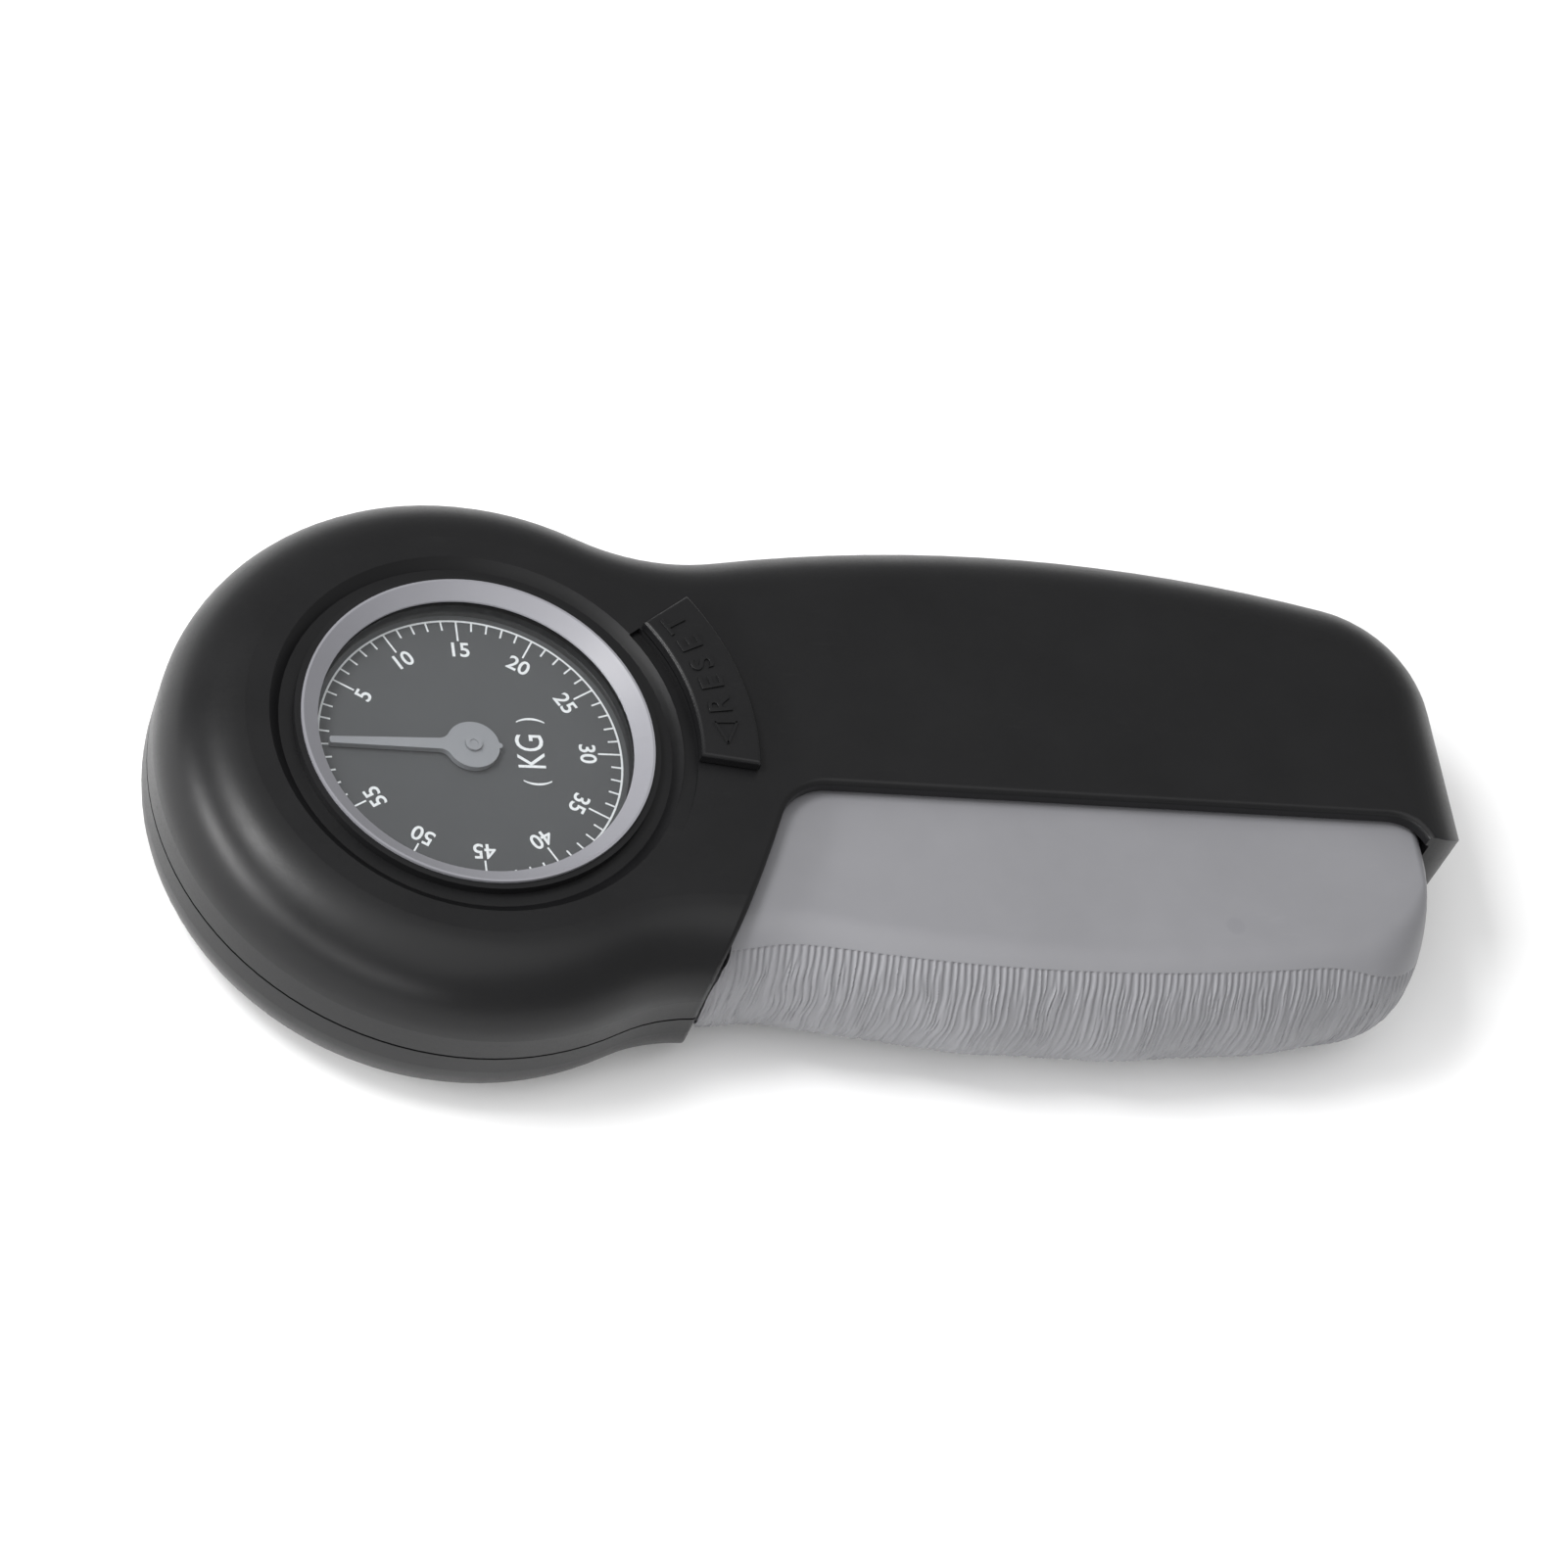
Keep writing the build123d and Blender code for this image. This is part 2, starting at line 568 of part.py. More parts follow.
def make_squeeze_grip():
    """Hollow grey moulding, open towards the inside of the case."""
    outer = grip_loft(GRIP_FROM_X, GRIP_TO_X) & grip_plan()
    inner = grip_loft(GRIP_FROM_X + GRIP_WALL, GRIP_HOLLOW_TO_X, GRIP_WALL)
    end_x = (GRIP_HOLLOW_TO_X, GRIP_TO_X - GRIP_WALL)
    end_room = block(end_x, (crest_y(GRIP_TO_X) + GRIP_CURVE, 0), (5, 23))
    grip = outer - inner - end_room
    for x in GRIP_SCREW_X:
        boss_y = crest_y(x) + 1
        grip += rod_y(2.6, boss_y, CARRIAGE_Y[0], x, SEAM_Z)
        grip -= rod_y(1.0, boss_y + 1.5, CARRIAGE_Y[0] + 1, x, SEAM_Z)
    rack_slot_z = (RACK_Z[0] - 1, RACK_Z[1] + 1)
    grip -= block((GRIP_FROM_X - 1, SHELF_FOOT[0]), (-25.5, GRIP_INNER_Y), rack_slot_z)
    tail_tab = block((GRIP_TO_X - 1, 134.5), (TAIL_LIP_Y + WALL + 1.0, -5.0), (9.0, 19.0))
    neck_tab = block((24.6, GRIP_FROM_X + 3), (-31.2, -28.4), (9.0, 19.0))
    return grip + tail_tab + neck_tab


def make_carriage():
    """Moulded bar inside the grip that slides on the guide rods and carries the rack."""
    bar = block(CARRIAGE_X, CARRIAGE_Y, CARRIAGE_Z)
    foot_x = (SHELF_FOOT[0], CARRIAGE_X[0] + 1)
    shelf = block(foot_x, (CARRIAGE_Y[0], SHELF_FOOT[1]), (CARRIAGE_Z[0], RACK_Z[0]))
    carriage = bar + shelf
    for x in ROD_X:
        carriage += rod_y(TUBE_R, CARRIAGE_Y[0], TUBE_END_Y, x, ROD_Z)
    for x in ROD_X:
        carriage -= rod_y(ROD_R + 0.4, CARRIAGE_Y[0] - 1, 0, x, ROD_Z)
        for y in bush_places():
            carriage -= rod_y(BUSH_R, y, y + BUSH_LENGTH, x, ROD_Z)
    for x in GRIP_SCREW_X:
        carriage -= rod_y(1.3, CARRIAGE_Y[0] - 1, CARRIAGE_Y[1] + 1, x, SEAM_Z)
    for x in RACK_SCREW_X:
        carriage -= disc(0.9, CARRIAGE_Z[0] + 1, RACK_Z[0] + 1, x, sum(RACK_ARM_Y) / 2)
    return carriage


def bush_places():
    return (TUBE_END_Y - BUSH_LENGTH, TUBE_END_Y - 2 * BUSH_LENGTH - 1)


def make_bushes():
    bushes = []
    for x in ROD_X:
        for y in bush_places():
            sleeve = rod_y(BUSH_R, y, y + BUSH_LENGTH, x, ROD_Z)
            bore = rod_y(ROD_R + BUSH_CLEARANCE, y - 1, y + BUSH_LENGTH + 1, x, ROD_Z)
            bushes.append(sleeve - bore)
    return group(bushes)


def make_grip_screws():
    screws = []
    for x in GRIP_SCREW_X:
        head = rod_y(2.2, CARRIAGE_Y[1], CARRIAGE_Y[1] + 1.6, x, SEAM_Z)
        shank = rod_y(1.0, crest_y(x) + 2.5, CARRIAGE_Y[1], x, SEAM_Z)
        screws.append(head + shank)
    return group(screws)


def make_guide_rod(x):
    rod = rod_y(ROD_R, ROD_Y[0], ROD_Y[1], x, ROD_Z)
    return chamfer(rod.edges().sort_by(Axis.Y)[0], 0.5)


def make_spring_seats():
    return group(
        [
            rod_y(SEAT_R, ANCHOR_Y[0] - SEAT_T, ANCHOR_Y[0], x, ROD_Z)
            - rod_y(ROD_R, 0, 40, x, ROD_Z)
            for x in ROD_X
        ]
    )


def make_main_spring(x):
    length = ANCHOR_Y[0] - SEAT_T - TUBE_END_Y
    spring = helix_spring(SPRING_R, SPRING_WIRE_R, SPRING_TURNS, length)
    return Pos(x, TUBE_END_Y, ROD_Z) * Rot(-90, 0, 0) * spring


# ---------- rack and pinion ----------
def rack_tooth(y):
    """One straight-sided tooth centred at a height on the rack, pointing at the pinion."""
    pitch_x = -PITCH_R
    half = TOOTH_PITCH / 4 - BACKLASH / 4
    root = MODULE * 1.25
    tip_half = half - RACK_ADDENDUM * tan(PRESSURE_ANGLE)
    root_half = half + root * tan(PRESSURE_ANGLE)
    return [
        (pitch_x - root, y - root_half),
        (pitch_x + RACK_ADDENDUM, y - tip_half),
        (pitch_x + RACK_ADDENDUM, y + tip_half),
        (pitch_x - root, y + root_half),
    ]


def make_rack():
    """Flat steel plate: a toothed strip beside the spindle and an arm to the carriage."""
    points = [(RACK_BACK_X, RACK_ARM_Y[0])]
    points.append((RACK_FOOT_X, RACK_ARM_Y[0]))
    points.append((RACK_FOOT_X, RACK_ARM_Y[1]))
    points.append((-PITCH_R - MODULE * 1.25, RACK_ARM_Y[1]))
    for n in range(-11, 2):
        points.extend(rack_tooth((n + 0.5) * TOOTH_PITCH))
    points.append((-PITCH_R - MODULE * 1.25, RACK_TOP_Y))
    points.append((RACK_BACK_X, RACK_TOP_Y))
    rack = polygon(points, *RACK_Z)
    for x in RACK_SCREW_X:
        rack -= disc(1.15, RACK_Z[0] - 1, RACK_Z[1] + 1, x, sum(RACK_ARM_Y) / 2)
    return rack


def make_rack_screws():
    y = sum(RACK_ARM_Y) / 2
    screws = []
    for x in RACK_SCREW_X:
        head = disc(1.9, RACK_Z[1], RACK_Z[1] + 1.3, x, y)
        screws.append(head + disc(0.9, CARRIAGE_Z[0] + 1.2, RACK_Z[1], x, y))
    return group(screws)


def involute_flank(side, centre_angle):
    """Points of one involute flank of a pinion tooth, from the root out to the tip."""
    base_r = PITCH_R * cos(PRESSURE_ANGLE)
    tip_r = PITCH_R + MODULE
    half_at_pitch = pi / (2 * PINION_TEETH) - BACKLASH / (4 * PITCH_R)
    pitch_roll = tan(PRESSURE_ANGLE) - PRESSURE_ANGLE
    tip_roll = sqrt((tip_r / base_r) ** 2 - 1)
    points = []
    for step in range(5):
        roll = tip_roll * step / 4
        radius = base_r * sqrt(1 + roll**2)
        swept = roll - atan2(roll, 1)
        angle = centre_angle + side * (half_at_pitch + pitch_roll - swept)
        points.append((radius * cos(angle), radius * sin(angle)))
    return points


def make_drive_pinion():
    """Ten-tooth pinion, loose on the spindle, with the dog that carries the pointer along."""
    root_r = PITCH_R - MODULE * 0.9
    gear = disc(root_r, RACK_Z[0] - 0.4, RACK_Z[1] + 0.4)
    for n in range(PINION_TEETH):
        centre = pi + n * 2 * pi / PINION_TEETH
        low = involute_flank(-1, centre)
        high = involute_flank(1, centre)
        points = [(0, 0)] + low + high[::-1]
        gear += polygon(points, RACK_Z[0] - 0.4, RACK_Z[1] + 0.4)
    gear += disc(2.2, BRIDGE_Z[1] + 0.9, RACK_Z[0] - 0.4)
    dog_z = RACK_Z[1] + 0.4
    gear += disc(2.2, dog_z, dog_z + 0.8)
    gear += block((0, 5.6), (-0.9, 0.9), (dog_z, dog_z + 0.8))
    gear += disc(0.6, dog_z, DISC_Z[0] - 0.3, 5.0, 0.0)
    return gear - disc(SPINDLE_R + RUNNING, 0, 30)


def make_spindle():
    shaft = disc(SPINDLE_R, *SPINDLE_Z)
    return chamfer(shaft.edges().sort_by(Axis.Z)[-1], 0.25)


def make_drag_disc():
    """Disc fixed on the spindle, with the catch that the dog pushes."""
    wheel = disc(DISC_R, *DISC_Z) + disc(2.4, DISC_Z[1], DISC_Z[1] + 1.4)
    catch = disc(0.6, DISC_Z[0] - 0.9, DISC_Z[0], *polar(5.0, -16))
    return wheel + catch - disc(SPINDLE_R, 0, 30)


def make_hairspring():
    """Flat spiral that returns the pointer, drawn as a thin ribbon, with its collet."""
    low, high = 16.6, 17.5
    turns, start_r, end_r, ribbon = 4.25, 2.0, 8.0, 0.18
    inner = []
    outer = []
    for n in range(int(turns * 12) + 1):
        angle = 30 * n
        radius = start_r + (end_r - start_r) * n / (turns * 12)
        inner.append(polar(radius - ribbon / 2, angle))
        outer.append(polar(radius + ribbon / 2, angle))
    lines = Curve() + [
        Spline(*inner),
        Line(inner[-1], outer[-1]),
        Spline(*outer[::-1]),
        Line(outer[0], inner[0]),
    ]
    ribbon_solid = Pos(0, 0, low) * extrude(make_face(lines), high - low)
    return ribbon_solid + ring(SPINDLE_R, start_r, low, high)


def make_hairspring_stud():
    """Pin on the front movement plate that holds the outer end of the hairspring."""
    x, y = polar(8.8, 90)
    return disc(0.6, 16.2, PLATE_Z[0], x, y)


# ---------- movement frame ----------
def make_movement_plate():
    plate = disc(PLATE_R, *PLATE_Z)
    for angle in EAR_ANGLES:
        x, y = polar(EAR_R, angle)
        arm = Rot(0, 0, angle) * block((PLATE_R - 2, EAR_R), (-3, 3), PLATE_Z)
        plate += arm + disc(3.0, *PLATE_Z, x, y)
    for angle in EAR_ANGLES:
        plate -= disc(1.1, 0, 30, *polar(EAR_R, angle))
    for angle in PILLAR_ANGLES:
        plate -= disc(1.1, 0, 30, *polar(PILLAR_R, angle))
    return plate - disc(2.2, 0, 30)


def make_movement_bridge():
    plate = disc(BRIDGE_R, *BRIDGE_Z) - disc(2.2, 0, 30)
    for angle in PILLAR_ANGLES:
        plate -= disc(1.1, 0, 30, *polar(PILLAR_R, angle))
    return plate


def make_pillars():
    places = [polar(PILLAR_R, angle) for angle in PILLAR_ANGLES]
    return group([ring(1.1, 2.4, BRIDGE_Z[1], PLATE_Z[0], *place) for place in places])


def make_pillar_screws():
    """Long screws through the bridge, the pillars and the front movement plate."""
    screws = []
    for angle in PILLAR_ANGLES:
        x, y = polar(PILLAR_R, angle)
        shank = disc(1.1, BRIDGE_Z[0], PLATE_Z[1] - 0.1, x, y)
        screws.append(shank + disc(2.0, 4.1, BRIDGE_Z[0], x, y))
    return group(screws)


def make_ear_screws():
    """Screws that hang the movement from the front shell."""
    screws = []
    for angle in EAR_ANGLES:
        x, y = polar(EAR_R, angle)
        screws.append(disc(0.9, PLATE_Z[0], FRONT_Z - 2, x, y) + disc(1.9, 20.1, PLATE_Z[0], x, y))
    return group(screws)


def make_spindle_bush(low, high, flange_low, flange_high):
    bush = disc(2.2, low, high) + disc(3.0, flange_low, flange_high)
    return bush - disc(SPINDLE_R + RUNNING, 0, 30)


def make_rack_guide():
    """Plastic block on the bridge that keeps the rack in mesh."""
    gap = 0.1
    return block((-10.0, RACK_BACK_X - gap), (-6.0, 6.0), (BRIDGE_Z[1], RACK_Z[1] + 0.8))


# ---------- pointer brake ----------
def link(start, end, half_width, low, high):
    """Straight bar with round ends between two points."""
    bar = SlotCenterToCenter(hypot(end[0] - start[0], end[1] - start[1]), 2 * half_width)
    heading = degrees(atan2(end[1] - start[1], end[0] - start[0]))
    middle = ((start[0] + end[0]) / 2, (start[1] + end[1]) / 2)
    return Pos(middle[0], middle[1], low) * Rot(0, 0, heading) * extrude(bar, high - low)


def make_brake_lever():
    """Lever with one arm to the shoe and a short tail that the reset clip's leg pushes."""
    lever = disc(2.8, *BRAKE_Z, *BRAKE_PIVOT)
    lever += link(BRAKE_PIVOT, polar(SHOE_R[1] + 0.5, SHOE_ANGLE), SHOE_WIDTH / 2, *BRAKE_Z)
    lever += link(BRAKE_PIVOT, polar(BRAKE_TAIL_R, BRAKE_TAIL_ANGLE), 1.0, *BRAKE_Z)
    seat = Rot(0, 0, SHOE_ANGLE) * block((SHOE_R[0] - 1, SHOE_R[1]), (-3, 3), (12, 16))
    return lever - disc(1.25, 0, 30, *BRAKE_PIVOT) - seat


def make_brake_shoe():
    half = SHOE_WIDTH / 2
    return Rot(0, 0, SHOE_ANGLE) * block(SHOE_R, (-half, half), BRAKE_Z)


def make_brake_pivot():
    pin = disc(1.2, 12.7, PLATE_Z[0], *BRAKE_PIVOT)
    return pin + disc(2.2, 11.9, 12.7, *BRAKE_PIVOT)


def make_brake_spring():
    spring = helix_spring(1.9, 0.25, 4, 4.0)
    return Pos(BRAKE_PIVOT[0], BRAKE_PIVOT[1], BRAKE_Z[1] + 0.3) * spring


def build_parts():
    return {
        "front_shell": make_front_shell(),
        "rear_shell": make_rear_shell(),
        "case_screws": make_case_screws(),
        "bezel": make_bezel(),
        "lens": make_lens(),
        "dial_plate": make_dial_plate(),
        "pointer": make_pointer(),
        "reset_slider": make_reset_slider(),
        "reset_clip": make_reset_clip(),
        "reset_clip_screw": make_clip_screw(),
        "reset_spring": make_reset_spring(),
        "reset_spring_post": make_spring_post(),
        "squeeze_grip": make_squeeze_grip(),
        "carriage": make_carriage(),
        "carriage_bushes": make_bushes(),
        "grip_screws": make_grip_screws(),
        "guide_rod_head": make_guide_rod(ROD_X[0]),
        "guide_rod_tail": make_guide_rod(ROD_X[1]),
        "spring_seats": make_spring_seats(),
        "main_spring_head": make_main_spring(ROD_X[0]),
        "main_spring_tail": make_main_spring(ROD_X[1]),
        "rack": make_rack(),
        "rack_screws": make_rack_screws(),
        "rack_guide": make_rack_guide(),
        "drive_pinion": make_drive_pinion(),
        "spindle": make_spindle(),
        "drag_disc": make_drag_disc(),
        "hairspring": make_hairspring(),
        "hairspring_stud": make_hairspring_stud(),
        "movement_plate": make_movement_plate(),
        "movement_bridge": make_movement_bridge(),
        "movement_pillars": make_pillars(),
        "pillar_screws": make_pillar_screws(),
        "ear_screws": make_ear_screws(),
        "upper_bush": make_spindle_bush(*PLATE_Z, 20.6, PLATE_Z[0]),
        "lower_bush": make_spindle_bush(*BRIDGE_Z, BRIDGE_Z[1], BRIDGE_Z[1] + 0.8),
        "brake_lever": make_brake_lever(),
        "brake_shoe": make_brake_shoe(),
        "brake_pivot": make_brake_pivot(),
        "brake_spring": make_brake_spring(),
    }


os.makedirs("parts", exist_ok=True)
for node, solid in build_parts().items():
    export_step(solid, f"parts/{node}.step")
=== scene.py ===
import json
import math

import bmesh
import bpy
from mathutils import Matrix, Vector, noise


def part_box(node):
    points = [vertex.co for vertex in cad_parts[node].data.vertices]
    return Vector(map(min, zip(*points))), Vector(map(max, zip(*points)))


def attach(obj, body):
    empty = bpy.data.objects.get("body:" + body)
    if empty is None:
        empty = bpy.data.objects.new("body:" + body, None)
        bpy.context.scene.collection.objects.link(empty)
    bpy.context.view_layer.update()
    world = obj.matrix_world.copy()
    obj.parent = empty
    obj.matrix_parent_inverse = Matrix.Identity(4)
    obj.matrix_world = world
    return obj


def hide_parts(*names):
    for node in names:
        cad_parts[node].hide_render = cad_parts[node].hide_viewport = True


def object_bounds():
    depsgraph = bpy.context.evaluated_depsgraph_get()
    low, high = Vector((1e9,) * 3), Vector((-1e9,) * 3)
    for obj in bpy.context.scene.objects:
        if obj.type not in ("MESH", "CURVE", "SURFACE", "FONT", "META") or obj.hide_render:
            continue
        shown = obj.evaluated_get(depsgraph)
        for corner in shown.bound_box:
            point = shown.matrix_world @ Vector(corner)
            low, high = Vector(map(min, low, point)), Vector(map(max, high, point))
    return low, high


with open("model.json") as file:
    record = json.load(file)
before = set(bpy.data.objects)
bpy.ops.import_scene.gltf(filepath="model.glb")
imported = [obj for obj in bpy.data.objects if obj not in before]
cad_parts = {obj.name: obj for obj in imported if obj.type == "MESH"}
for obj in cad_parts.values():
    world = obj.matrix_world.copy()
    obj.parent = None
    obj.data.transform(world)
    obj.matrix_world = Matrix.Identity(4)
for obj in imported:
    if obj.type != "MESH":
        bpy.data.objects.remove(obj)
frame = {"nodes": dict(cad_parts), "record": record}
cad_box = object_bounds()

# Lengths are in millimetres up to the point where a mesh is made, which is in metres.
MM = 0.001


def node_box(node):
    """Lowest and highest corner of a CAD node, in millimetres."""
    low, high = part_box(node)
    return low / MM, high / MM


# ---------- places and sizes, from the frame ----------
DIAL_Z = node_box("dial_plate")[1].z
SLIDER_TOP = node_box("reset_slider")[1].z
GRIP_LOW, GRIP_HIGH = node_box("squeeze_grip")
CARRIAGE_FLOOR = node_box("carriage")[0].y
SEAM_Z = node_box("rear_shell")[1].z

# printed scale
RING_R = 20.0
RING_WIDTH = 0.27
TICK_WIDTH = 0.24
MINOR_TICK_IN = 18.55
MAJOR_TICK_IN = 16.9
DIVISIONS = 60
MAJOR_EVERY = 5
ZERO_ANGLE = 180.0
RING_STEPS = 240
FIGURE_R = 15.4
FIGURE_SIZE = 2.25
FIGURE_WEIGHT = 0.045
UNIT_X = 8.05
UNIT_SIZE = 3.9
UNIT_NARROW = 0.76
UNIT_WEIGHT = 0.0
BRACKET_SIZE = 3.0
BRACKET_AT = 4.9
PRINT_T = 0.03
CAP_SHARE = 0.73             # height of a capital, as a share of the font's size

# embossed word on the reset slider, its letters' tops towards the dial
EMBOSS_H = 0.22
EMBOSS_BEVEL = 0.05
EMBOSS_R = (30.9, 34.2)
LETTERS = {"R": 7.3, "E": (13.5, 24.8), "S": 19.0, "T": 31.0}
ARROW_BASE = 2.5
ARROW_TIP = -3.3
ARROW_LINE = 0.35

# squeeze grip
GRIP_FROM_X = 28.5
GRIP_TO_X = 131.0
GRIP_INNER_Y = -3.0
GRIP_HALF = (GRIP_HIGH.z - GRIP_LOW.z) / 2
GRIP_WALL = 2.0
GRIP_CURVE = 9.0             # depth along Y of the rounded finger side
GRIP_CREST = (84.0, -36.8)   # lowest place of the finger side
GRIP_FALL = 0.0025           # its rise away from there, per millimetre squared
NECK_FLARE = 3.5
NECK_FLARE_X = 8.0
WAVE_PITCH = 21.0
WAVE_X = 44.6
WAVE_HEIGHT = 0.5
WAVE_TURN = (52.0, 6.0)      # the waves grow from the first to the second angle above the crest
SLANT_LOW = (25.25, -33.4)   # hidden neck end of the grip, along the case's slanted edge
SLANT = (13.8, 28.5)
RELIEF_LOW = (27.9, -34.6)   # the same end where the case's rounded wall comes close
RELIEF = (3.1, 5.2)
END_ROUND = 1.6              # edge rounding at the tail end
CORNER_ROUND = 11.5          # plan corner between the finger side and the tail end
TAB_Z = (9.0, 19.0)
TAB_ROUND = 0.6
TAIL_TAB = (129.5, 134.5, -8.3, -5.0)
NECK_TAB = (24.6, 31.5, -31.2, -28.4)
BOSS_X = (67.0, 95.0, 121.0)
BOSS_R = (1.0, 2.6)
BOSS_STEPS = 24
BOSS_SUNK = 0.5              # how far a boss runs into the wall it stands on
GRAIN_DEPTH = 0.26
GRAIN_TOP = 65.0             # angle above the crest where the grain starts, at mid-length
GRAIN_SAG = 9.0              # how much lower it starts at GRAIN_SAG_X from there
GRAIN_SAG_X = 50.0
GRAIN_TAIL_DROP = 30.0       # how much lower it gets round the tail corner, over GRAIN_TAIL
GRAIN_TAIL = (112.0, 134.0)
GRAIN_FADE = (126.0, 136.0)
GRAIN_BOLD = 0.95            # spacing of the bold lines and of the fine ones
GRAIN_FINE = 0.62
GRAIN_ARC = 0.18             # length round the finger side per degree
EJECTOR_AT = (100.7, -24.6)  # faint round mark on the grip's face
EJECTOR_R = (1.1, 1.5)
FINGER_ROWS = 28
INNER_ROWS = 5
COLUMNS = (640, 140)         # along the straight part, and round the tail corner

# camera
AZIMUTH = -30.04
ELEVATION = 52.47
ROLL = 26.73
DISTANCE = 646.9
AIM = (45.34, 2.73, SEAM_Z)
LENS = 111.53
SENSOR = 36.0

# studio: azimuth, elevation, distance in metres, width and height in metres, watts
LIGHTS = {
    "overhead": (-40, 80, 1.7, 2.0, 2.0, 15),
    "low_left": (-86, 17, 0.9, 0.6, 0.13, 6),
    "low_front": (-38, 20, 0.9, 0.75, 0.12, 2),
    "high_left": (-100, 55, 0.9, 0.35, 0.25, 5),
}
LIGHT_TARGET = (45, 0, 15)
WORLD_STRENGTH = 0.45
FLOOR_HALF = 4.0             # metres
FLOOR_GAP = 0.0001


def polar(radius, degrees):
    """Point at a radius and an angle about the dial's axis."""
    return radius * math.cos(math.radians(degrees)), radius * math.sin(math.radians(degrees))


def smooth(low, high, value):
    """0 below low, 1 above high and a smooth rise between them."""
    t = min(1.0, max(0.0, (value - low) / (high - low)))
    return t * t * (3 - 2 * t)


# ---------- meshes ----------
def add_piece(name, verts, faces, body, material, sharp=None):
    """Object from vertices in millimetres, riding on a CAD body."""
    mesh = bpy.data.meshes.new(name)
    mesh.from_pydata([[c * MM for c in v] for v in verts], [], faces)
    return finish_piece(name, mesh, body, material, sharp)


def finish_piece(name, mesh, body, material, sharp=None):
    """Object from a mesh in metres; `sharp` is the angle up to which its faces are shaded smooth."""
    clean = bmesh.new()
    clean.from_mesh(mesh)
    bmesh.ops.remove_doubles(clean, verts=clean.verts, dist=1e-7)
    bmesh.ops.recalc_face_normals(clean, faces=clean.faces)
    clean.to_mesh(mesh)
    clean.free()
    piece = bpy.data.objects.new(name, mesh)
    bpy.context.scene.collection.objects.link(piece)
    mesh.materials.append(material)
    if sharp is not None:
        mesh.shade_smooth()
        mesh.set_sharp_from_angle(angle=math.radians(sharp))
    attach(piece, body)
    return piece


class Shape:
    """Vertices and faces of one mesh, gathered part by part, in millimetres."""

    def __init__(self):
        self.verts = []
        self.faces = []

    def prism(self, outline, low, high):
        """Straight prism on a plan outline given anticlockwise."""
        first = len(self.verts)
        count = len(outline)
        self.verts += [(x, y, low) for x, y in outline] + [(x, y, high) for x, y in outline]
        bottom = [first + n for n in range(count)]
        top = [first + count + n for n in range(count)]
        self.faces += [bottom[::-1], top]
        for n in range(count):
            m = (n + 1) % count
            self.faces.append((bottom[n], bottom[m], top[m], top[n]))

    def ring(self, radii, span, steps, place):
        """Closed ring of a square section; `place` turns a round point and a height into a vertex."""
        first = len(self.verts)
        (inner, outer), (low, high) = radii, span
        for n in range(steps):
            for radius, height in ((inner, low), (outer, low), (outer, high), (inner, high)):
                self.verts.append(place(*polar(radius, 360 * n / steps), height))
        for n in range(steps):
            a, b = first + 4 * n, first + 4 * ((n + 1) % steps)
            for k in range(4):
                m = (k + 1) % 4
                self.faces.append((a + k, b + k, b + m, a + m))


def text_mesh(word, size, depth, matrix, weight=0.0, bevel=0.0):
    """Mesh of a word in the plain built-in font, its capitals `size` millimetres high."""
    curve = bpy.data.curves.new(word, "FONT")
    curve.body = word
    curve.align_x = "CENTER"
    curve.align_y = "CENTER"
    curve.size = size / CAP_SHARE
    curve.extrude = depth / 2
    curve.offset = weight
    curve.bevel_depth = bevel
    curve.resolution_u = 4
    holder = bpy.data.objects.new(word, curve)
    bpy.context.scene.collection.objects.link(holder)
    mesh = bpy.data.meshes.new_from_object(holder.evaluated_get(bpy.context.evaluated_depsgraph_get()))
    bpy.data.objects.remove(holder)
    bpy.data.curves.remove(curve)
    mesh.transform(Matrix.Scale(MM, 4) @ matrix)
    return mesh


def joined(name, meshes):
    """One mesh from several."""
    whole = bmesh.new()
    for mesh in meshes:
        whole.from_mesh(mesh)
        bpy.data.meshes.remove(mesh)
    result = bpy.data.meshes.new(name)
    whole.to_mesh(result)
    whole.free()
    return result


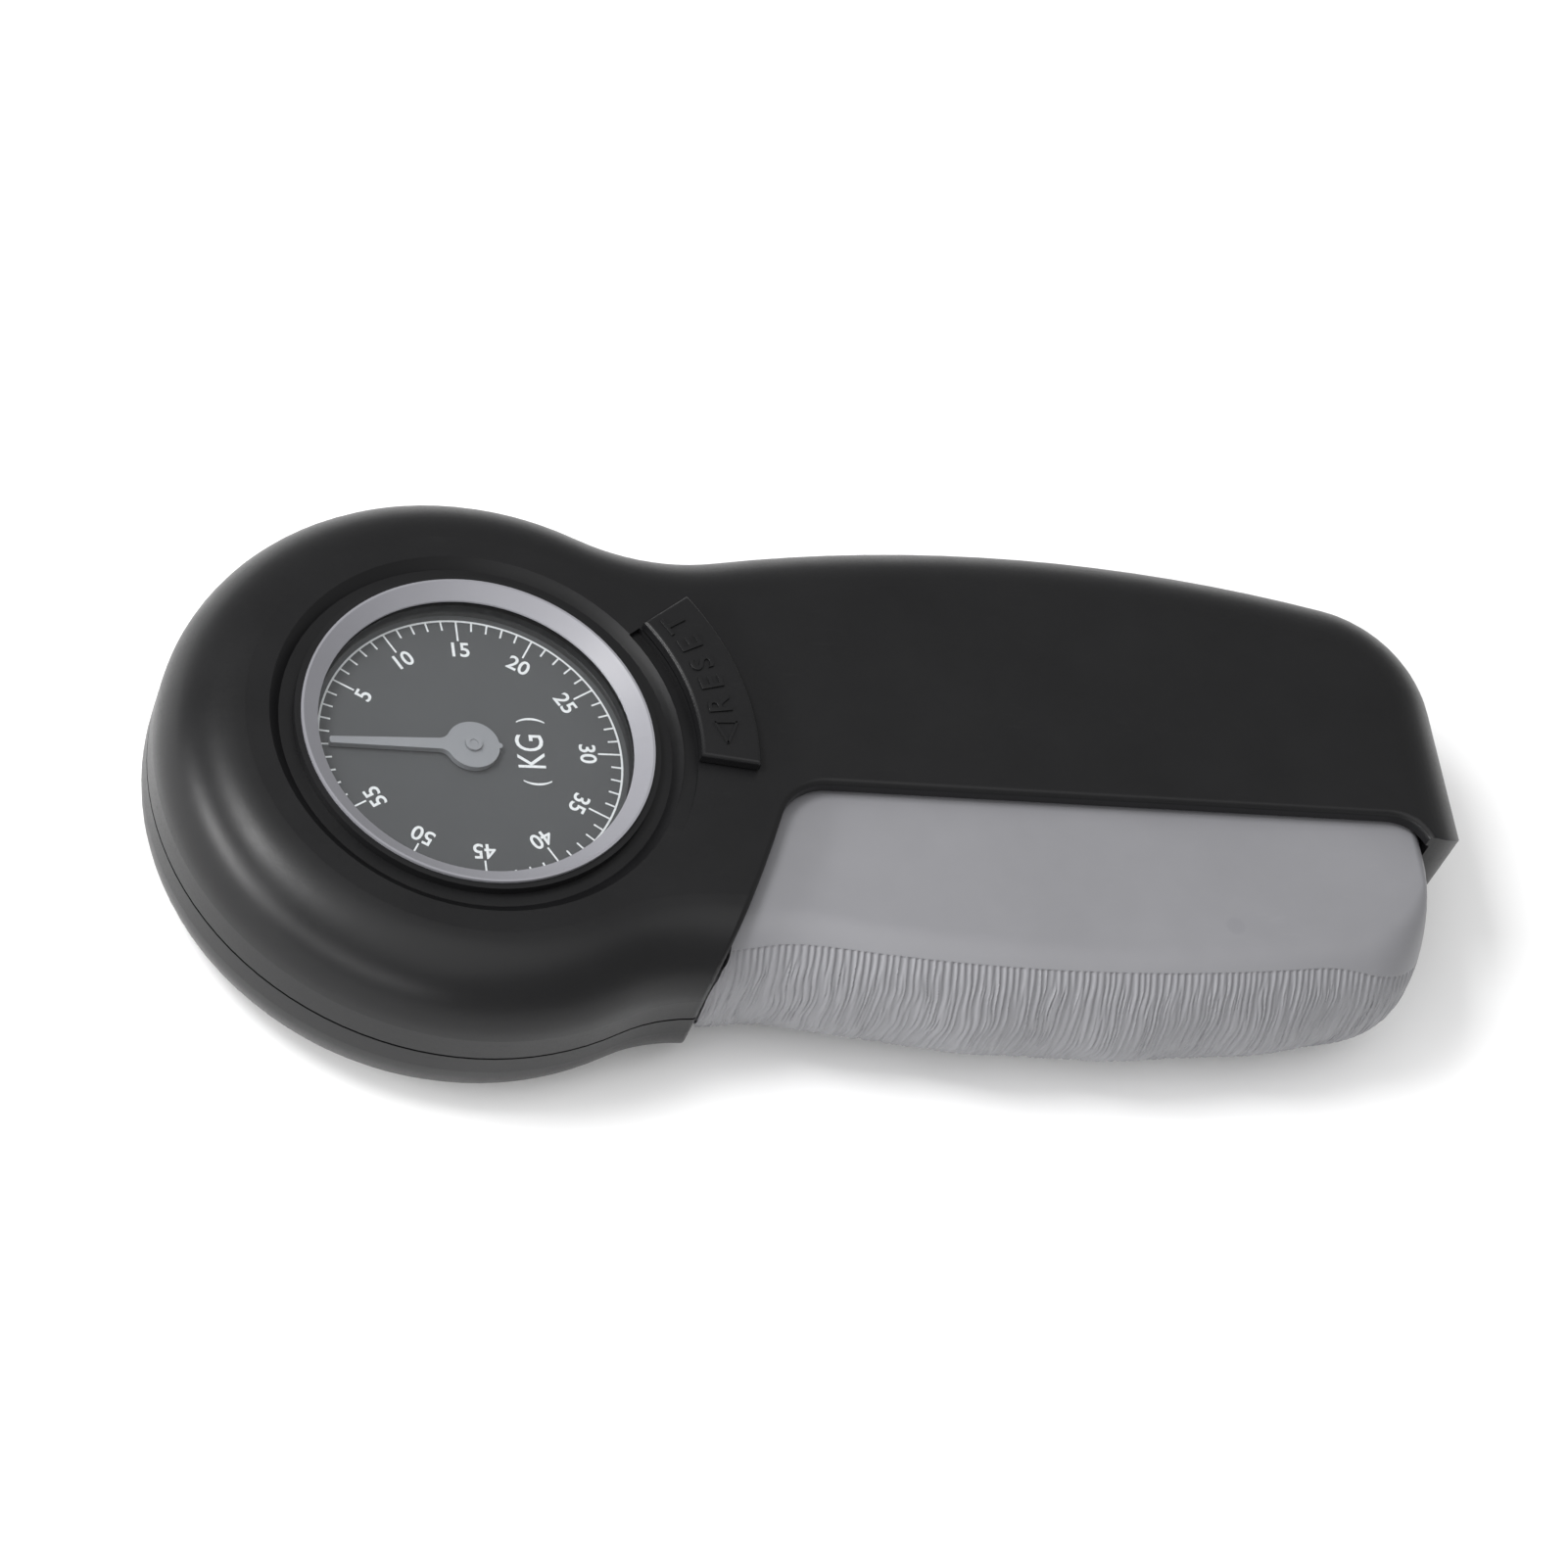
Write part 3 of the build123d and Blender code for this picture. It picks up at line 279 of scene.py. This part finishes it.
# ---------- materials ----------
class Nodes:
    """Short names for building one material's node tree."""

    def __init__(self, name):
        self.material = bpy.data.materials.new(name)
        self.material.use_nodes = True
        self.tree = self.material.node_tree
        self.shader = self.tree.nodes["Principled BSDF"]
        self.output = self.tree.nodes["Material Output"]
        self.coords = self.add("TexCoord").outputs["Object"]

    def add(self, kind, **inputs):
        node = self.tree.nodes.new("ShaderNode" + kind)
        for key, value in inputs.items():
            self.set(node.inputs[key.replace("_", " ")], value)
        return node

    def set(self, socket, value):
        if isinstance(value, bpy.types.NodeSocket):
            self.tree.links.new(value, socket)
        else:
            socket.default_value = value

    def stretched(self, scale):
        """Object coordinates scaled by a factor per axis."""
        return self.add("Mapping", Vector=self.coords, Scale=scale).outputs[0]

    def noise(self, size_mm, detail=3.0, rough=0.5, vector=None):
        """Noise whose features are about size_mm wide, from 0 to 1."""
        made = self.add(
            "TexNoise",
            Vector=vector or self.coords,
            Scale=1 / (size_mm * MM),
            Detail=detail,
            Roughness=rough,
        )
        return made.outputs["Fac"]

    def remap(self, value, low, high, from_low=0.3, from_high=0.7):
        node = self.add("MapRange")
        for index, number in enumerate((value, from_low, from_high, low, high)):
            self.set(node.inputs[index], number)
        return node.outputs[0]

    def math(self, operation, a, b=0.0):
        node = self.add("Math")
        node.operation = operation
        self.set(node.inputs[0], a)
        self.set(node.inputs[1], b)
        return node.outputs[0]

    def mix(self, share, a, b):
        node = self.tree.nodes.new("ShaderNodeMix")
        node.data_type = "RGBA"
        for socket, value in ((node.inputs[0], share), (node.inputs[6], a), (node.inputs[7], b)):
            self.set(socket, value)
        return node.outputs[2]

    def bump(self, height, depth_mm, strength=1.0, normal=None):
        node = self.add("Bump", Height=height, Distance=depth_mm * MM, Strength=strength)
        if normal is not None:
            self.set(node.inputs["Normal"], normal)
        return node.outputs[0]


def shade(colour, factor):
    """Opaque colour made lighter or darker by a factor."""
    return [c * factor for c in colour] + [1.0]


def grey(level):
    return [level, level, level, 1.0]


def moulded(name, colour, rough, grain_mm=0.35, grain_depth=0.006, mottle=0.06, scuffs=0.0, wear=0.0):
    """Injection-moulded plastic: fine spark-eroded grain, uneven gloss, faint flow marks and scuffs."""
    n = Nodes(name)
    cloud = n.noise(14, 4, 0.6)
    tone = n.mix(n.remap(cloud, 0, 1), shade(colour, 1 - mottle), shade(colour, 1 + mottle))
    grain = n.noise(grain_mm, 4, 0.65)
    pores = n.noise(grain_mm * 3.1, 2, 0.5)
    gloss = n.math("ADD", n.remap(cloud, rough - 0.03, rough + 0.03), n.remap(grain, -0.04, 0.04))
    height = n.math("ADD", grain, n.math("MULTIPLY", pores, 0.6))
    if scuffs:
        streaks = n.noise(0.5, 3, 0.6, n.stretched((0.12, 1.0, 1.0)))
        patches = n.noise(9, 2, 0.5)
        scuff = n.math("MULTIPLY", n.remap(streaks, 0, 1, 0.6, 0.72), n.remap(patches, 0, 1, 0.5, 0.62))
        tone = n.mix(n.math("MULTIPLY", scuff, scuffs), tone, shade(colour, 1.7))
        gloss = n.math("ADD", gloss, n.math("MULTIPLY", scuff, 0.1))
    if wear:
        edge = n.remap(n.add("NewGeometry").outputs["Pointiness"], 0, 1, 0.53, 0.6)
        worn = n.math("MULTIPLY", edge, n.remap(n.noise(2.0, 3), 0.3, 1.0))
        tone = n.mix(n.math("MULTIPLY", worn, wear), tone, shade(colour, 2.2))
    n.set(n.shader.inputs["Base Color"], tone)
    n.set(n.shader.inputs["Roughness"], gloss)
    n.set(n.shader.inputs["Normal"], n.bump(height, grain_depth))
    return n


def metal(name, colour, rough, stretch=(1, 1, 1), depth=0.003):
    """Turned, drawn or stamped metal, with tool marks along one direction and a dull film."""
    n = Nodes(name)
    marks = n.noise(0.12, 3, 0.6, n.stretched(stretch))
    film = n.noise(3.0, 4, 0.6)
    tone = n.mix(n.remap(film, 0, 1), shade(colour, 0.86), shade(colour, 1.08))
    n.set(n.shader.inputs["Base Color"], n.mix(n.remap(marks, 0.0, 0.2), tone, shade(colour, 0.6)))
    gloss = n.math("ADD", n.remap(film, rough - 0.05, rough + 0.08), n.remap(marks, -0.03, 0.03))
    n.set(n.shader.inputs["Roughness"], gloss)
    n.set(n.shader.inputs["Metallic"], 1.0)
    n.set(n.shader.inputs["Normal"], n.bump(marks, depth))
    return n


def dial_print():
    """Matt dark grey paint with a faint speckle on the dial plate."""
    n = moulded("dial_print", (0.063, 0.063, 0.0653), 0.55, 0.16, 0.0008, 0.03)
    specks = n.remap(n.noise(0.28, 2), 0, 1, 0.72, 0.8)
    tone = n.shader.inputs["Base Color"].links[0].from_socket
    cover = n.math("MULTIPLY", specks, 0.5)
    n.set(n.shader.inputs["Base Color"], n.mix(cover, tone, grey(0.2)))
    return n.material


def white_print():
    """Screen-printed white ink, slightly uneven at its edges and in its cover."""
    n = Nodes("white_print")
    cover = n.noise(0.35, 4, 0.6)
    n.set(n.shader.inputs["Base Color"], n.mix(n.remap(cover, 0, 1), grey(0.74), grey(0.88)))
    n.set(n.shader.inputs["Roughness"], n.remap(cover, 0.42, 0.55))
    n.set(n.shader.inputs["Normal"], n.bump(cover, 0.004))
    return n.material


def clear_lens():
    """Thin clear window: the dial shows through it, and it mirrors a little at a slant."""
    n = Nodes("lens_clear")
    haze = n.noise(6, 4, 0.6)
    n.set(n.shader.inputs["Base Color"], shade((0.9, 0.92, 0.93), 1))
    n.set(n.shader.inputs["Roughness"], n.remap(haze, 0.04, 0.09))
    fresnel = n.add("Fresnel", IOR=1.45).outputs[0]
    clear = n.add("BsdfTransparent", Color=(0.97, 0.98, 0.985, 1)).outputs[0]
    gloss = n.add("BsdfGlossy", Color=(1, 1, 1, 1)).outputs[0]
    n.set(gloss.node.inputs["Roughness"], n.remap(haze, 0.04, 0.09))
    mixed = n.add("MixShader")
    n.set(mixed.inputs[0], n.math("MULTIPLY", fresnel, 0.8))
    n.set(mixed.inputs[1], clear)
    n.set(mixed.inputs[2], gloss)
    n.set(n.output.inputs["Surface"], mixed.outputs[0])
    n.tree.nodes.remove(n.shader)
    return n.material


def grip_plastic():
    """Grey satin plastic of the squeeze grip, with one faint round mark left by the mould's ejector."""
    n = moulded("grip_grey", (0.195, 0.195, 0.207), 0.44, 0.22, 0.003, 0.035, 0.05)
    tone = n.shader.inputs["Base Color"].links[0].from_socket
    place = n.add("VectorMath", Vector=n.coords)
    place.operation = "DISTANCE"
    n.set(place.inputs[1], [c * MM for c in (*EJECTOR_AT, GRIP_HIGH.z)])
    mark = n.remap(place.outputs["Value"], 0.35, 0.0, *(r * MM for r in EJECTOR_R))
    n.set(n.shader.inputs["Base Color"], n.mix(mark, tone, shade((0.165, 0.165, 0.18), 1)))
    return n.material


def case_black():
    """Black moulded plastic with a low sheen."""
    n = moulded("case_black", (0.0062, 0.0062, 0.0067), 0.36, 0.3, 0.004, 0.08, 0.03)
    n.set(n.shader.inputs["Specular IOR Level"], 0.26)
    return n.material


SLOT_MATERIALS = {
    "case_black": case_black(),
    "grip_grey": grip_plastic(),
    "bezel_grey": moulded("bezel_grey", (0.2, 0.2, 0.218), 0.4, 0.25, 0.003, 0.03, 0.03).material,
    "lens_clear": clear_lens(),
    "dial_print": dial_print(),
    "pointer_grey": moulded("pointer_grey", (0.26, 0.26, 0.272), 0.42, 0.25, 0.004, 0.03).material,
    "inner_plastic": moulded("inner_plastic", (0.10, 0.10, 0.11), 0.5, 0.4, 0.01, 0.1).material,
    "spring_steel": metal("spring_steel", (0.5, 0.5, 0.52), 0.3, (1, 0.15, 1)).material,
    "machined_steel": metal("machined_steel", (0.6, 0.6, 0.62), 0.25, (1, 0.08, 1)).material,
    "screw_steel": metal("screw_steel", (0.45, 0.45, 0.47), 0.35, (1, 1, 0.1)).material,
    "brass": metal("brass", (0.72, 0.52, 0.25), 0.28, (1, 1, 0.1)).material,
    "stamped_plate": metal("stamped_plate", (0.62, 0.63, 0.65), 0.38, (0.06, 1, 1)).material,
    "brake_rubber": moulded("brake_rubber", (0.03, 0.03, 0.03), 0.8, 0.2, 0.02, 0.15).material,
}


def paint_cad_nodes():
    """Material of its slot on every CAD node."""
    for part in frame["record"]["subparts"]:
        node = frame["nodes"][part["node"]]
        node.data.materials.clear()
        node.data.materials.append(SLOT_MATERIALS[part["material_slot"]])


# ---------- dial print ----------
def bar(inner, outer, angle, width):
    """Outline of a radial stroke, anticlockwise."""
    half = width / 2
    turn = math.radians(angle)
    out = (math.cos(turn), math.sin(turn))
    side = (-out[1], out[0])
    corners = ((inner, -half), (outer, -half), (outer, half), (inner, half))
    return [(out[0] * r + side[0] * s, out[1] * r + side[1] * s) for r, s in corners]


def make_scale(ink):
    """Printed ring with its minor and major ticks, clockwise from zero."""
    shape = Shape()
    low, high = DIAL_Z, DIAL_Z + PRINT_T
    radii = (RING_R - RING_WIDTH / 2, RING_R + RING_WIDTH / 2)
    shape.ring(radii, (low, high), RING_STEPS, lambda x, y, z: (x, y, z))
    for n in range(DIVISIONS):
        angle = ZERO_ANGLE - n * 360 / DIVISIONS
        inner = MINOR_TICK_IN if n % MAJOR_EVERY else MAJOR_TICK_IN
        shape.prism(bar(inner, RING_R - RING_WIDTH / 2, angle, TICK_WIDTH), low, high)
    add_piece("dial_scale", shape.verts, shape.faces, "case", ink)


def make_figures(ink):
    """Numbers every five divisions, their tops outwards, and the unit in brackets."""
    meshes = []
    z = DIAL_Z + PRINT_T / 2
    for n in range(MAJOR_EVERY, DIVISIONS, MAJOR_EVERY):
        angle = ZERO_ANGLE - n * 360 / DIVISIONS
        x, y = polar(FIGURE_R, angle)
        place = Matrix.Translation((x, y, z)) @ Matrix.Rotation(math.radians(angle - 90), 4, "Z")
        meshes.append(text_mesh(str(n), FIGURE_SIZE, PRINT_T, place, FIGURE_WEIGHT))
    quarter = Matrix.Rotation(math.radians(90), 4, "Z")
    narrow = Matrix.Diagonal((UNIT_NARROW, 1, 1, 1))
    unit = (("KG", 0.0, UNIT_SIZE), ("(", -BRACKET_AT, BRACKET_SIZE), (")", BRACKET_AT, BRACKET_SIZE))
    for word, along, size in unit:
        place = Matrix.Translation((UNIT_X, along, z)) @ quarter @ narrow
        meshes.append(text_mesh(word, size, PRINT_T, place, UNIT_WEIGHT))
    mesh = joined("dial_figures", meshes)
    finish_piece("dial_figures", mesh, "case", ink)


# ---------- reset slider ----------
def make_reset_word(material):
    """Raised word along the slider's arc, with an outlined arrow that shows which way to push."""
    meshes = []
    radius = sum(EMBOSS_R) / 2
    size = EMBOSS_R[1] - EMBOSS_R[0]
    for letter, angles in LETTERS.items():
        for angle in angles if isinstance(angles, tuple) else (angles,):
            x, y = polar(radius, angle)
            turn = Matrix.Rotation(math.radians(angle + 90), 4, "Z")
            place = Matrix.Translation((x, y, SLIDER_TOP)) @ turn
            meshes.append(text_mesh(letter, size, EMBOSS_H * 2, place, 0.0, EMBOSS_BEVEL))
    shape = Shape()
    corners = [(EMBOSS_R[0] + 0.2, ARROW_BASE), (radius, ARROW_TIP), (EMBOSS_R[1], ARROW_BASE)]
    for n in range(3):
        start, end = (Vector(polar(*corners[k])) for k in (n, (n + 1) % 3))
        side = (end - start).normalized().orthogonal() * ARROW_LINE / 2
        outline = [start - side, end - side, end + side, start + side]
        shape.prism([tuple(p) for p in outline], SLIDER_TOP - EMBOSS_H, SLIDER_TOP + EMBOSS_H)
    arrow = bpy.data.meshes.new("arrow")
    arrow.from_pydata([[c * MM for c in v] for v in shape.verts], [], shape.faces)
    meshes.append(arrow)
    finish_piece("reset_word", joined("reset_word", meshes), "reset", material, 40)


# ---------- squeeze grip ----------
def crest_y(x):
    """Height of the middle of the finger side, without its waves."""
    fall = GRIP_FALL * (x - GRIP_CREST[0]) ** 2
    flare = NECK_FLARE * math.exp(-(((x - GRIP_FROM_X) / NECK_FLARE_X) ** 2))
    return GRIP_CREST[1] + fall - flare


def wave(x):
    """Finger wave, 1 on a ridge and -1 in a hollow."""
    return math.cos(2 * math.pi * (x - WAVE_X) / WAVE_PITCH)


def grain_limit(along):
    """Angle round the finger side, in degrees above its middle, where the grain starts."""
    sag = GRAIN_SAG * ((along - GRIP_CREST[0]) / GRAIN_SAG_X) ** 2
    return GRAIN_TOP - sag - GRAIN_TAIL_DROP * smooth(*GRAIN_TAIL, along)


def grain_height(along, turn, limit):
    """0 on the ridges of the grain to 1 in its grooves: bold lines that break up lower down."""
    s = turn * GRAIN_ARC
    lower = smooth(4, 26, limit - abs(turn))
    drift = noise.noise((along / 6, s / 5, 1.3)) * (0.15 + 0.75 * lower)
    shift = 2.0 * noise.noise((along / 2.4, s / 18, 3.1))
    bold = math.sin(2 * math.pi * along / GRAIN_BOLD + shift + 2 * drift)
    breaks = noise.noise((along / 0.9 + drift, s / 2.4, 5.5))
    fine = 2.2 * noise.noise((along / (GRAIN_FINE / 2) + drift * 2.5, s / 7, 7.7))
    value = bold * (0.8 - 0.55 * lower) + fine * (0.3 + 0.6 * lower) + 0.5 * breaks
    return 0.5 - 0.5 * math.tanh(1.8 * value)


class GripSurface:
    """Points of the grip's outer or inner surface by place along it and row round its section.

    `along` is the length along the grip's plan outline, which is X up to the tail corner.
    """

    FLAT_ROWS = 5
    BROW_ROWS = 8

    def __init__(self, inset, finger_rows, grained):
        self.inset = inset
        self.grained = grained
        self.rows = self.row_list(finger_rows)

    def row_list(self, finger_rows):
        """Rows from the inner edge of the front face, round the finger side, to the rear face."""
        flats = [("flat", n / self.FLAT_ROWS) for n in range(self.FLAT_ROWS)]
        upper = [("brow", n / self.BROW_ROWS) for n in range(self.BROW_ROWS)] + [("brow", 0.96)]
        start = [("side", 0.0), ("side", 0.008)]
        if not self.grained:
            upper, start = [], [("side", 0.0)]
        half = start + [("side", n / finger_rows) for n in range(1, finger_rows)]
        front = [(kind, t, 1) for kind, t in flats + upper + half]
        rear = [(kind, t, -1) for kind, t, _ in front[::-1]]
        return front + [("side", 1.0, 1)] + rear

    def turn(self, along, row):
        """Direction of the section's surface: 90 degrees on the flat faces, 0 at the finger crest."""
        kind, t, _ = row
        limit = grain_limit(along) if self.grained else 90.0
        if kind == "flat":
            return 90.0
        return 90 + (limit - 90) * t if kind == "brow" else limit * (1 - t)

    def point(self, x, row, along, lift=0.0, edge_drop=0.0):
        """Point at a place; the finger side lifts round the tail corner, and edges sink at the end."""
        kind, t, side = row
        half = GRIP_HALF - self.inset
        depth = GRIP_CURVE - self.inset
        start_y = crest_y(x) + GRIP_CURVE + lift
        turn = self.turn(along, row)
        drop = edge_drop * math.sin(math.radians(turn))
        if kind == "flat":
            y, z, ny, nz = GRIP_INNER_Y + (start_y - GRIP_INNER_Y) * t, half, 0.0, 1.0
        else:
            c, s = math.cos(math.radians(turn)), math.sin(math.radians(turn))
            y, z = start_y - depth * c, half * s
            ny, nz = -c * half, s * depth
            length = math.hypot(ny, nz)
            ny, nz = ny / length, nz / length
        if self.grained:
            y -= WAVE_HEIGHT * wave(x) * smooth(*WAVE_TURN, turn)
        if self.grained and kind == "side" and t > 0:
            fade = 1 - smooth(*GRAIN_FADE, along)
            drop += GRAIN_DEPTH * fade * grain_height(along, turn * side, grain_limit(along))
        return (x, y - ny * drop, SEAM_Z + side * (z - nz * drop))


def slant_x(y):
    """Where the hidden neck end of the grip lies at a height."""
    slant = SLANT_LOW[0] + (y - SLANT_LOW[1]) * SLANT[0] / SLANT[1]
    rise = min(y - RELIEF_LOW[1], RELIEF[1])
    return max(GRIP_FROM_X, slant, RELIEF_LOW[0] + rise * RELIEF[0] / RELIEF[1])


def grip_grid(surface, from_x, to_x, columns, corner):
    """Grid of points: straight columns to the start of the tail corner, then columns round it."""
    grid = []
    last = to_x - corner
    for row in surface.rows:
        start = from_x + slant_x(surface.point(from_x, row, from_x)[1]) - GRIP_FROM_X
        line = []
        for n in range(columns[0]):
            x = start + (last - start) * n / columns[0]
            line.append(surface.point(x, row, x))
        for n in range(columns[1] + 1):
            angle = math.pi / 2 * n / columns[1]
            x = last + corner * math.sin(angle)
            inside = min(1.0, max(0.0, 1 - (to_x - x) / END_ROUND))
            edge_drop = END_ROUND * (1 - math.sqrt(1 - inside**2))
            lift = corner * (1 - math.cos(angle))
            line.append(surface.point(x, row, last + corner * angle, lift, edge_drop))
        grid.append(line)
    return grid


def rounded_tab(shape, x, y):
    """Stop tab of the grip, with rounded upright corners, that rests inside the case."""
    outline = []
    steps = 4
    for quarter, (cx, cy) in enumerate(((x[1], y[0]), (x[1], y[1]), (x[0], y[1]), (x[0], y[0]))):
        centre_x = cx - math.copysign(TAB_ROUND, cx - sum(x) / 2)
        centre_y = cy - math.copysign(TAB_ROUND, cy - sum(y) / 2)
        for n in range(steps + 1):
            dx, dy = polar(TAB_ROUND, 90 * (quarter - 1 + n / steps))
            outline.append((centre_x + dx, centre_y + dy))
    shape.prism(outline, *TAB_Z)


def grip_faces(grids, index, columns):
    """Faces of the moulding: both surfaces, its end walls, and the rims that join them."""
    faces = []
    last = sum(columns)
    flat = GripSurface.FLAT_ROWS
    for name, grid in grids.items():
        top = len(grid) - 1
        for r in range(top):
            for c in range(last):
                corners = [(r, c), (r, c + 1), (r + 1, c + 1), (r + 1, c)]
                faces.append([index[name, a, b] for a, b in corners])
        # end walls: rungs between each row and its mirror image
        for c, first_row in ((0, flat), (last, 0)):
            for r in range(first_row, top // 2):
                corners = [(r, c), (r + 1, c), (top - r - 1, c), (top - r, c)]
                faces.append([index[name, a, b] for a, b in corners])
    top_out, top_in = (len(grids[name]) - 1 for name in ("out", "in"))
    # rims along the inner edge of the front and the rear face
    for out_row, in_row in ((0, 0), (top_out, top_in)):
        for c in range(last):
            a, b = (index["out", out_row, k] for k in (c, c + 1))
            d, e = (index["in", in_row, k] for k in (c, c + 1))
            faces.append([a, b, e, d])
    # rims of the flat faces at the neck end
    for r in range(flat):
        for out_row, in_row, step in ((r, r, 1), (top_out - r, top_in - r, -1)):
            outer = [index["out", out_row, 0], index["out", out_row + step, 0]]
            inner = [index["in", in_row + step, 0], index["in", in_row, 0]]
            faces.append(outer + inner)
    # rims across the two ends
    for c, row in ((0, flat), (last, 0)):
        outer = [index["out", row, c], index["out", top_out - row, c]]
        inner = [index["in", top_in - row, c], index["in", row, c]]
        faces.append(outer + inner)
    return faces


def make_squeeze_grip(material, columns):
    """Hollow grey moulding with finger waves, a grained finger side and rounded ends."""
    outer = GripSurface(0.0, FINGER_ROWS, True)
    inner = GripSurface(GRIP_WALL, INNER_ROWS, False)
    inner_ends = (GRIP_FROM_X + GRIP_WALL, GRIP_TO_X - GRIP_WALL)
    grids = {
        "out": grip_grid(outer, GRIP_FROM_X, GRIP_TO_X, columns, CORNER_ROUND),
        "in": grip_grid(inner, *inner_ends, columns, CORNER_ROUND - GRIP_WALL),
    }
    verts = []
    index = {}
    for name, grid in grids.items():
        for r, line in enumerate(grid):
            for c, p in enumerate(line):
                index[name, r, c] = len(verts)
                verts.append(p)
    faces = grip_faces(grids, index, columns)
    faces = [f for f in faces if len({tuple(round(v, 5) for v in verts[k]) for k in f}) > 2]
    extras = Shape()
    rounded_tab(extras, TAIL_TAB[:2], TAIL_TAB[2:])
    rounded_tab(extras, NECK_TAB[:2], NECK_TAB[2:])
    for x in BOSS_X:
        span = (crest_y(x) + GRIP_WALL - BOSS_SUNK, CARRIAGE_FLOOR)
        extras.ring(BOSS_R, span, BOSS_STEPS, lambda dx, dz, y: (x + dx, y, SEAM_Z + dz))
    first = len(verts)
    verts += extras.verts
    faces += [[k + first for k in face] for face in extras.faces]
    piece = add_piece("grip_moulding", verts, faces, "grip", material, 50)
    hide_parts("squeeze_grip")


# ---------- scene ----------
def spherical(azimuth, elevation):
    """Unit vector towards a viewing angle in degrees; azimuth 0 is the finger side."""
    a, e = math.radians(azimuth), math.radians(elevation)
    return Vector((math.sin(a) * math.cos(e), -math.cos(a) * math.cos(e), math.sin(e)))


def make_camera():
    """Camera aimed at the middle of the object, rolled about its own axis."""
    back = spherical(AZIMUTH, ELEVATION)
    level = Vector((math.cos(math.radians(AZIMUTH)), math.sin(math.radians(AZIMUTH)), 0))
    turn = math.radians(ROLL)
    right = level * math.cos(turn) + back.cross(level) * math.sin(turn)
    up = back.cross(right)
    place = (Vector(AIM) + back * DISTANCE) * MM
    data = bpy.data.cameras.new("camera")
    data.sensor_width = SENSOR
    data.lens = LENS
    data.clip_start, data.clip_end = 0.01, 20
    camera = bpy.data.objects.new("camera", data)
    rows = [[right[n], up[n], back[n], place[n]] for n in range(3)]
    camera.matrix_world = Matrix(rows + [[0, 0, 0, 1]])
    bpy.context.scene.collection.objects.link(camera)
    bpy.context.scene.camera = camera


def soft_light(name, azimuth, elevation, distance, width, height, power):
    """Rectangular soft light that faces the object."""
    data = bpy.data.lights.new(name, "AREA")
    data.shape = "RECTANGLE"
    data.size, data.size_y = width, height
    data.energy = power
    light = bpy.data.objects.new(name, data)
    away = spherical(azimuth, elevation)
    light.location = Vector(LIGHT_TARGET) * MM + away * distance
    light.rotation_mode = "QUATERNION"
    light.rotation_quaternion = away.to_track_quat("Z", "Y")
    bpy.context.scene.collection.objects.link(light)


def make_studio():
    """White surroundings, soft lights and a plain pale floor."""
    world = bpy.data.worlds.new("studio")
    world.use_nodes = True
    background = world.node_tree.nodes["Background"]
    background.inputs[0].default_value = (1, 1, 1, 1)
    background.inputs[1].default_value = WORLD_STRENGTH
    bpy.context.scene.world = world
    bpy.context.scene.view_settings.view_transform = "Standard"
    for name, values in LIGHTS.items():
        soft_light(name, *values)

    floor_mesh = bpy.data.meshes.new("floor")
    z = cad_box[0].z - FLOOR_GAP
    corners = [(x * FLOOR_HALF, y * FLOOR_HALF, z) for x, y in ((-1, -1), (1, -1), (1, 1), (-1, 1))]
    floor_mesh.from_pydata(corners, [], [(0, 1, 2, 3)])
    floor = bpy.data.objects.new("floor", floor_mesh)
    bpy.context.scene.collection.objects.link(floor)
    n = Nodes("floor")
    cloud = n.remap(n.noise(60, 3), 0, 1)
    n.set(n.shader.inputs["Base Color"], n.mix(cloud, grey(0.93), grey(0.95)))
    n.set(n.shader.inputs["Roughness"], 0.9)
    floor_mesh.materials.append(n.material)


paint_cad_nodes()
ink = white_print()
make_scale(ink)
make_figures(ink)
make_reset_word(SLOT_MATERIALS["case_black"])
make_squeeze_grip(SLOT_MATERIALS["grip_grey"], COLUMNS)
make_camera()
make_studio()
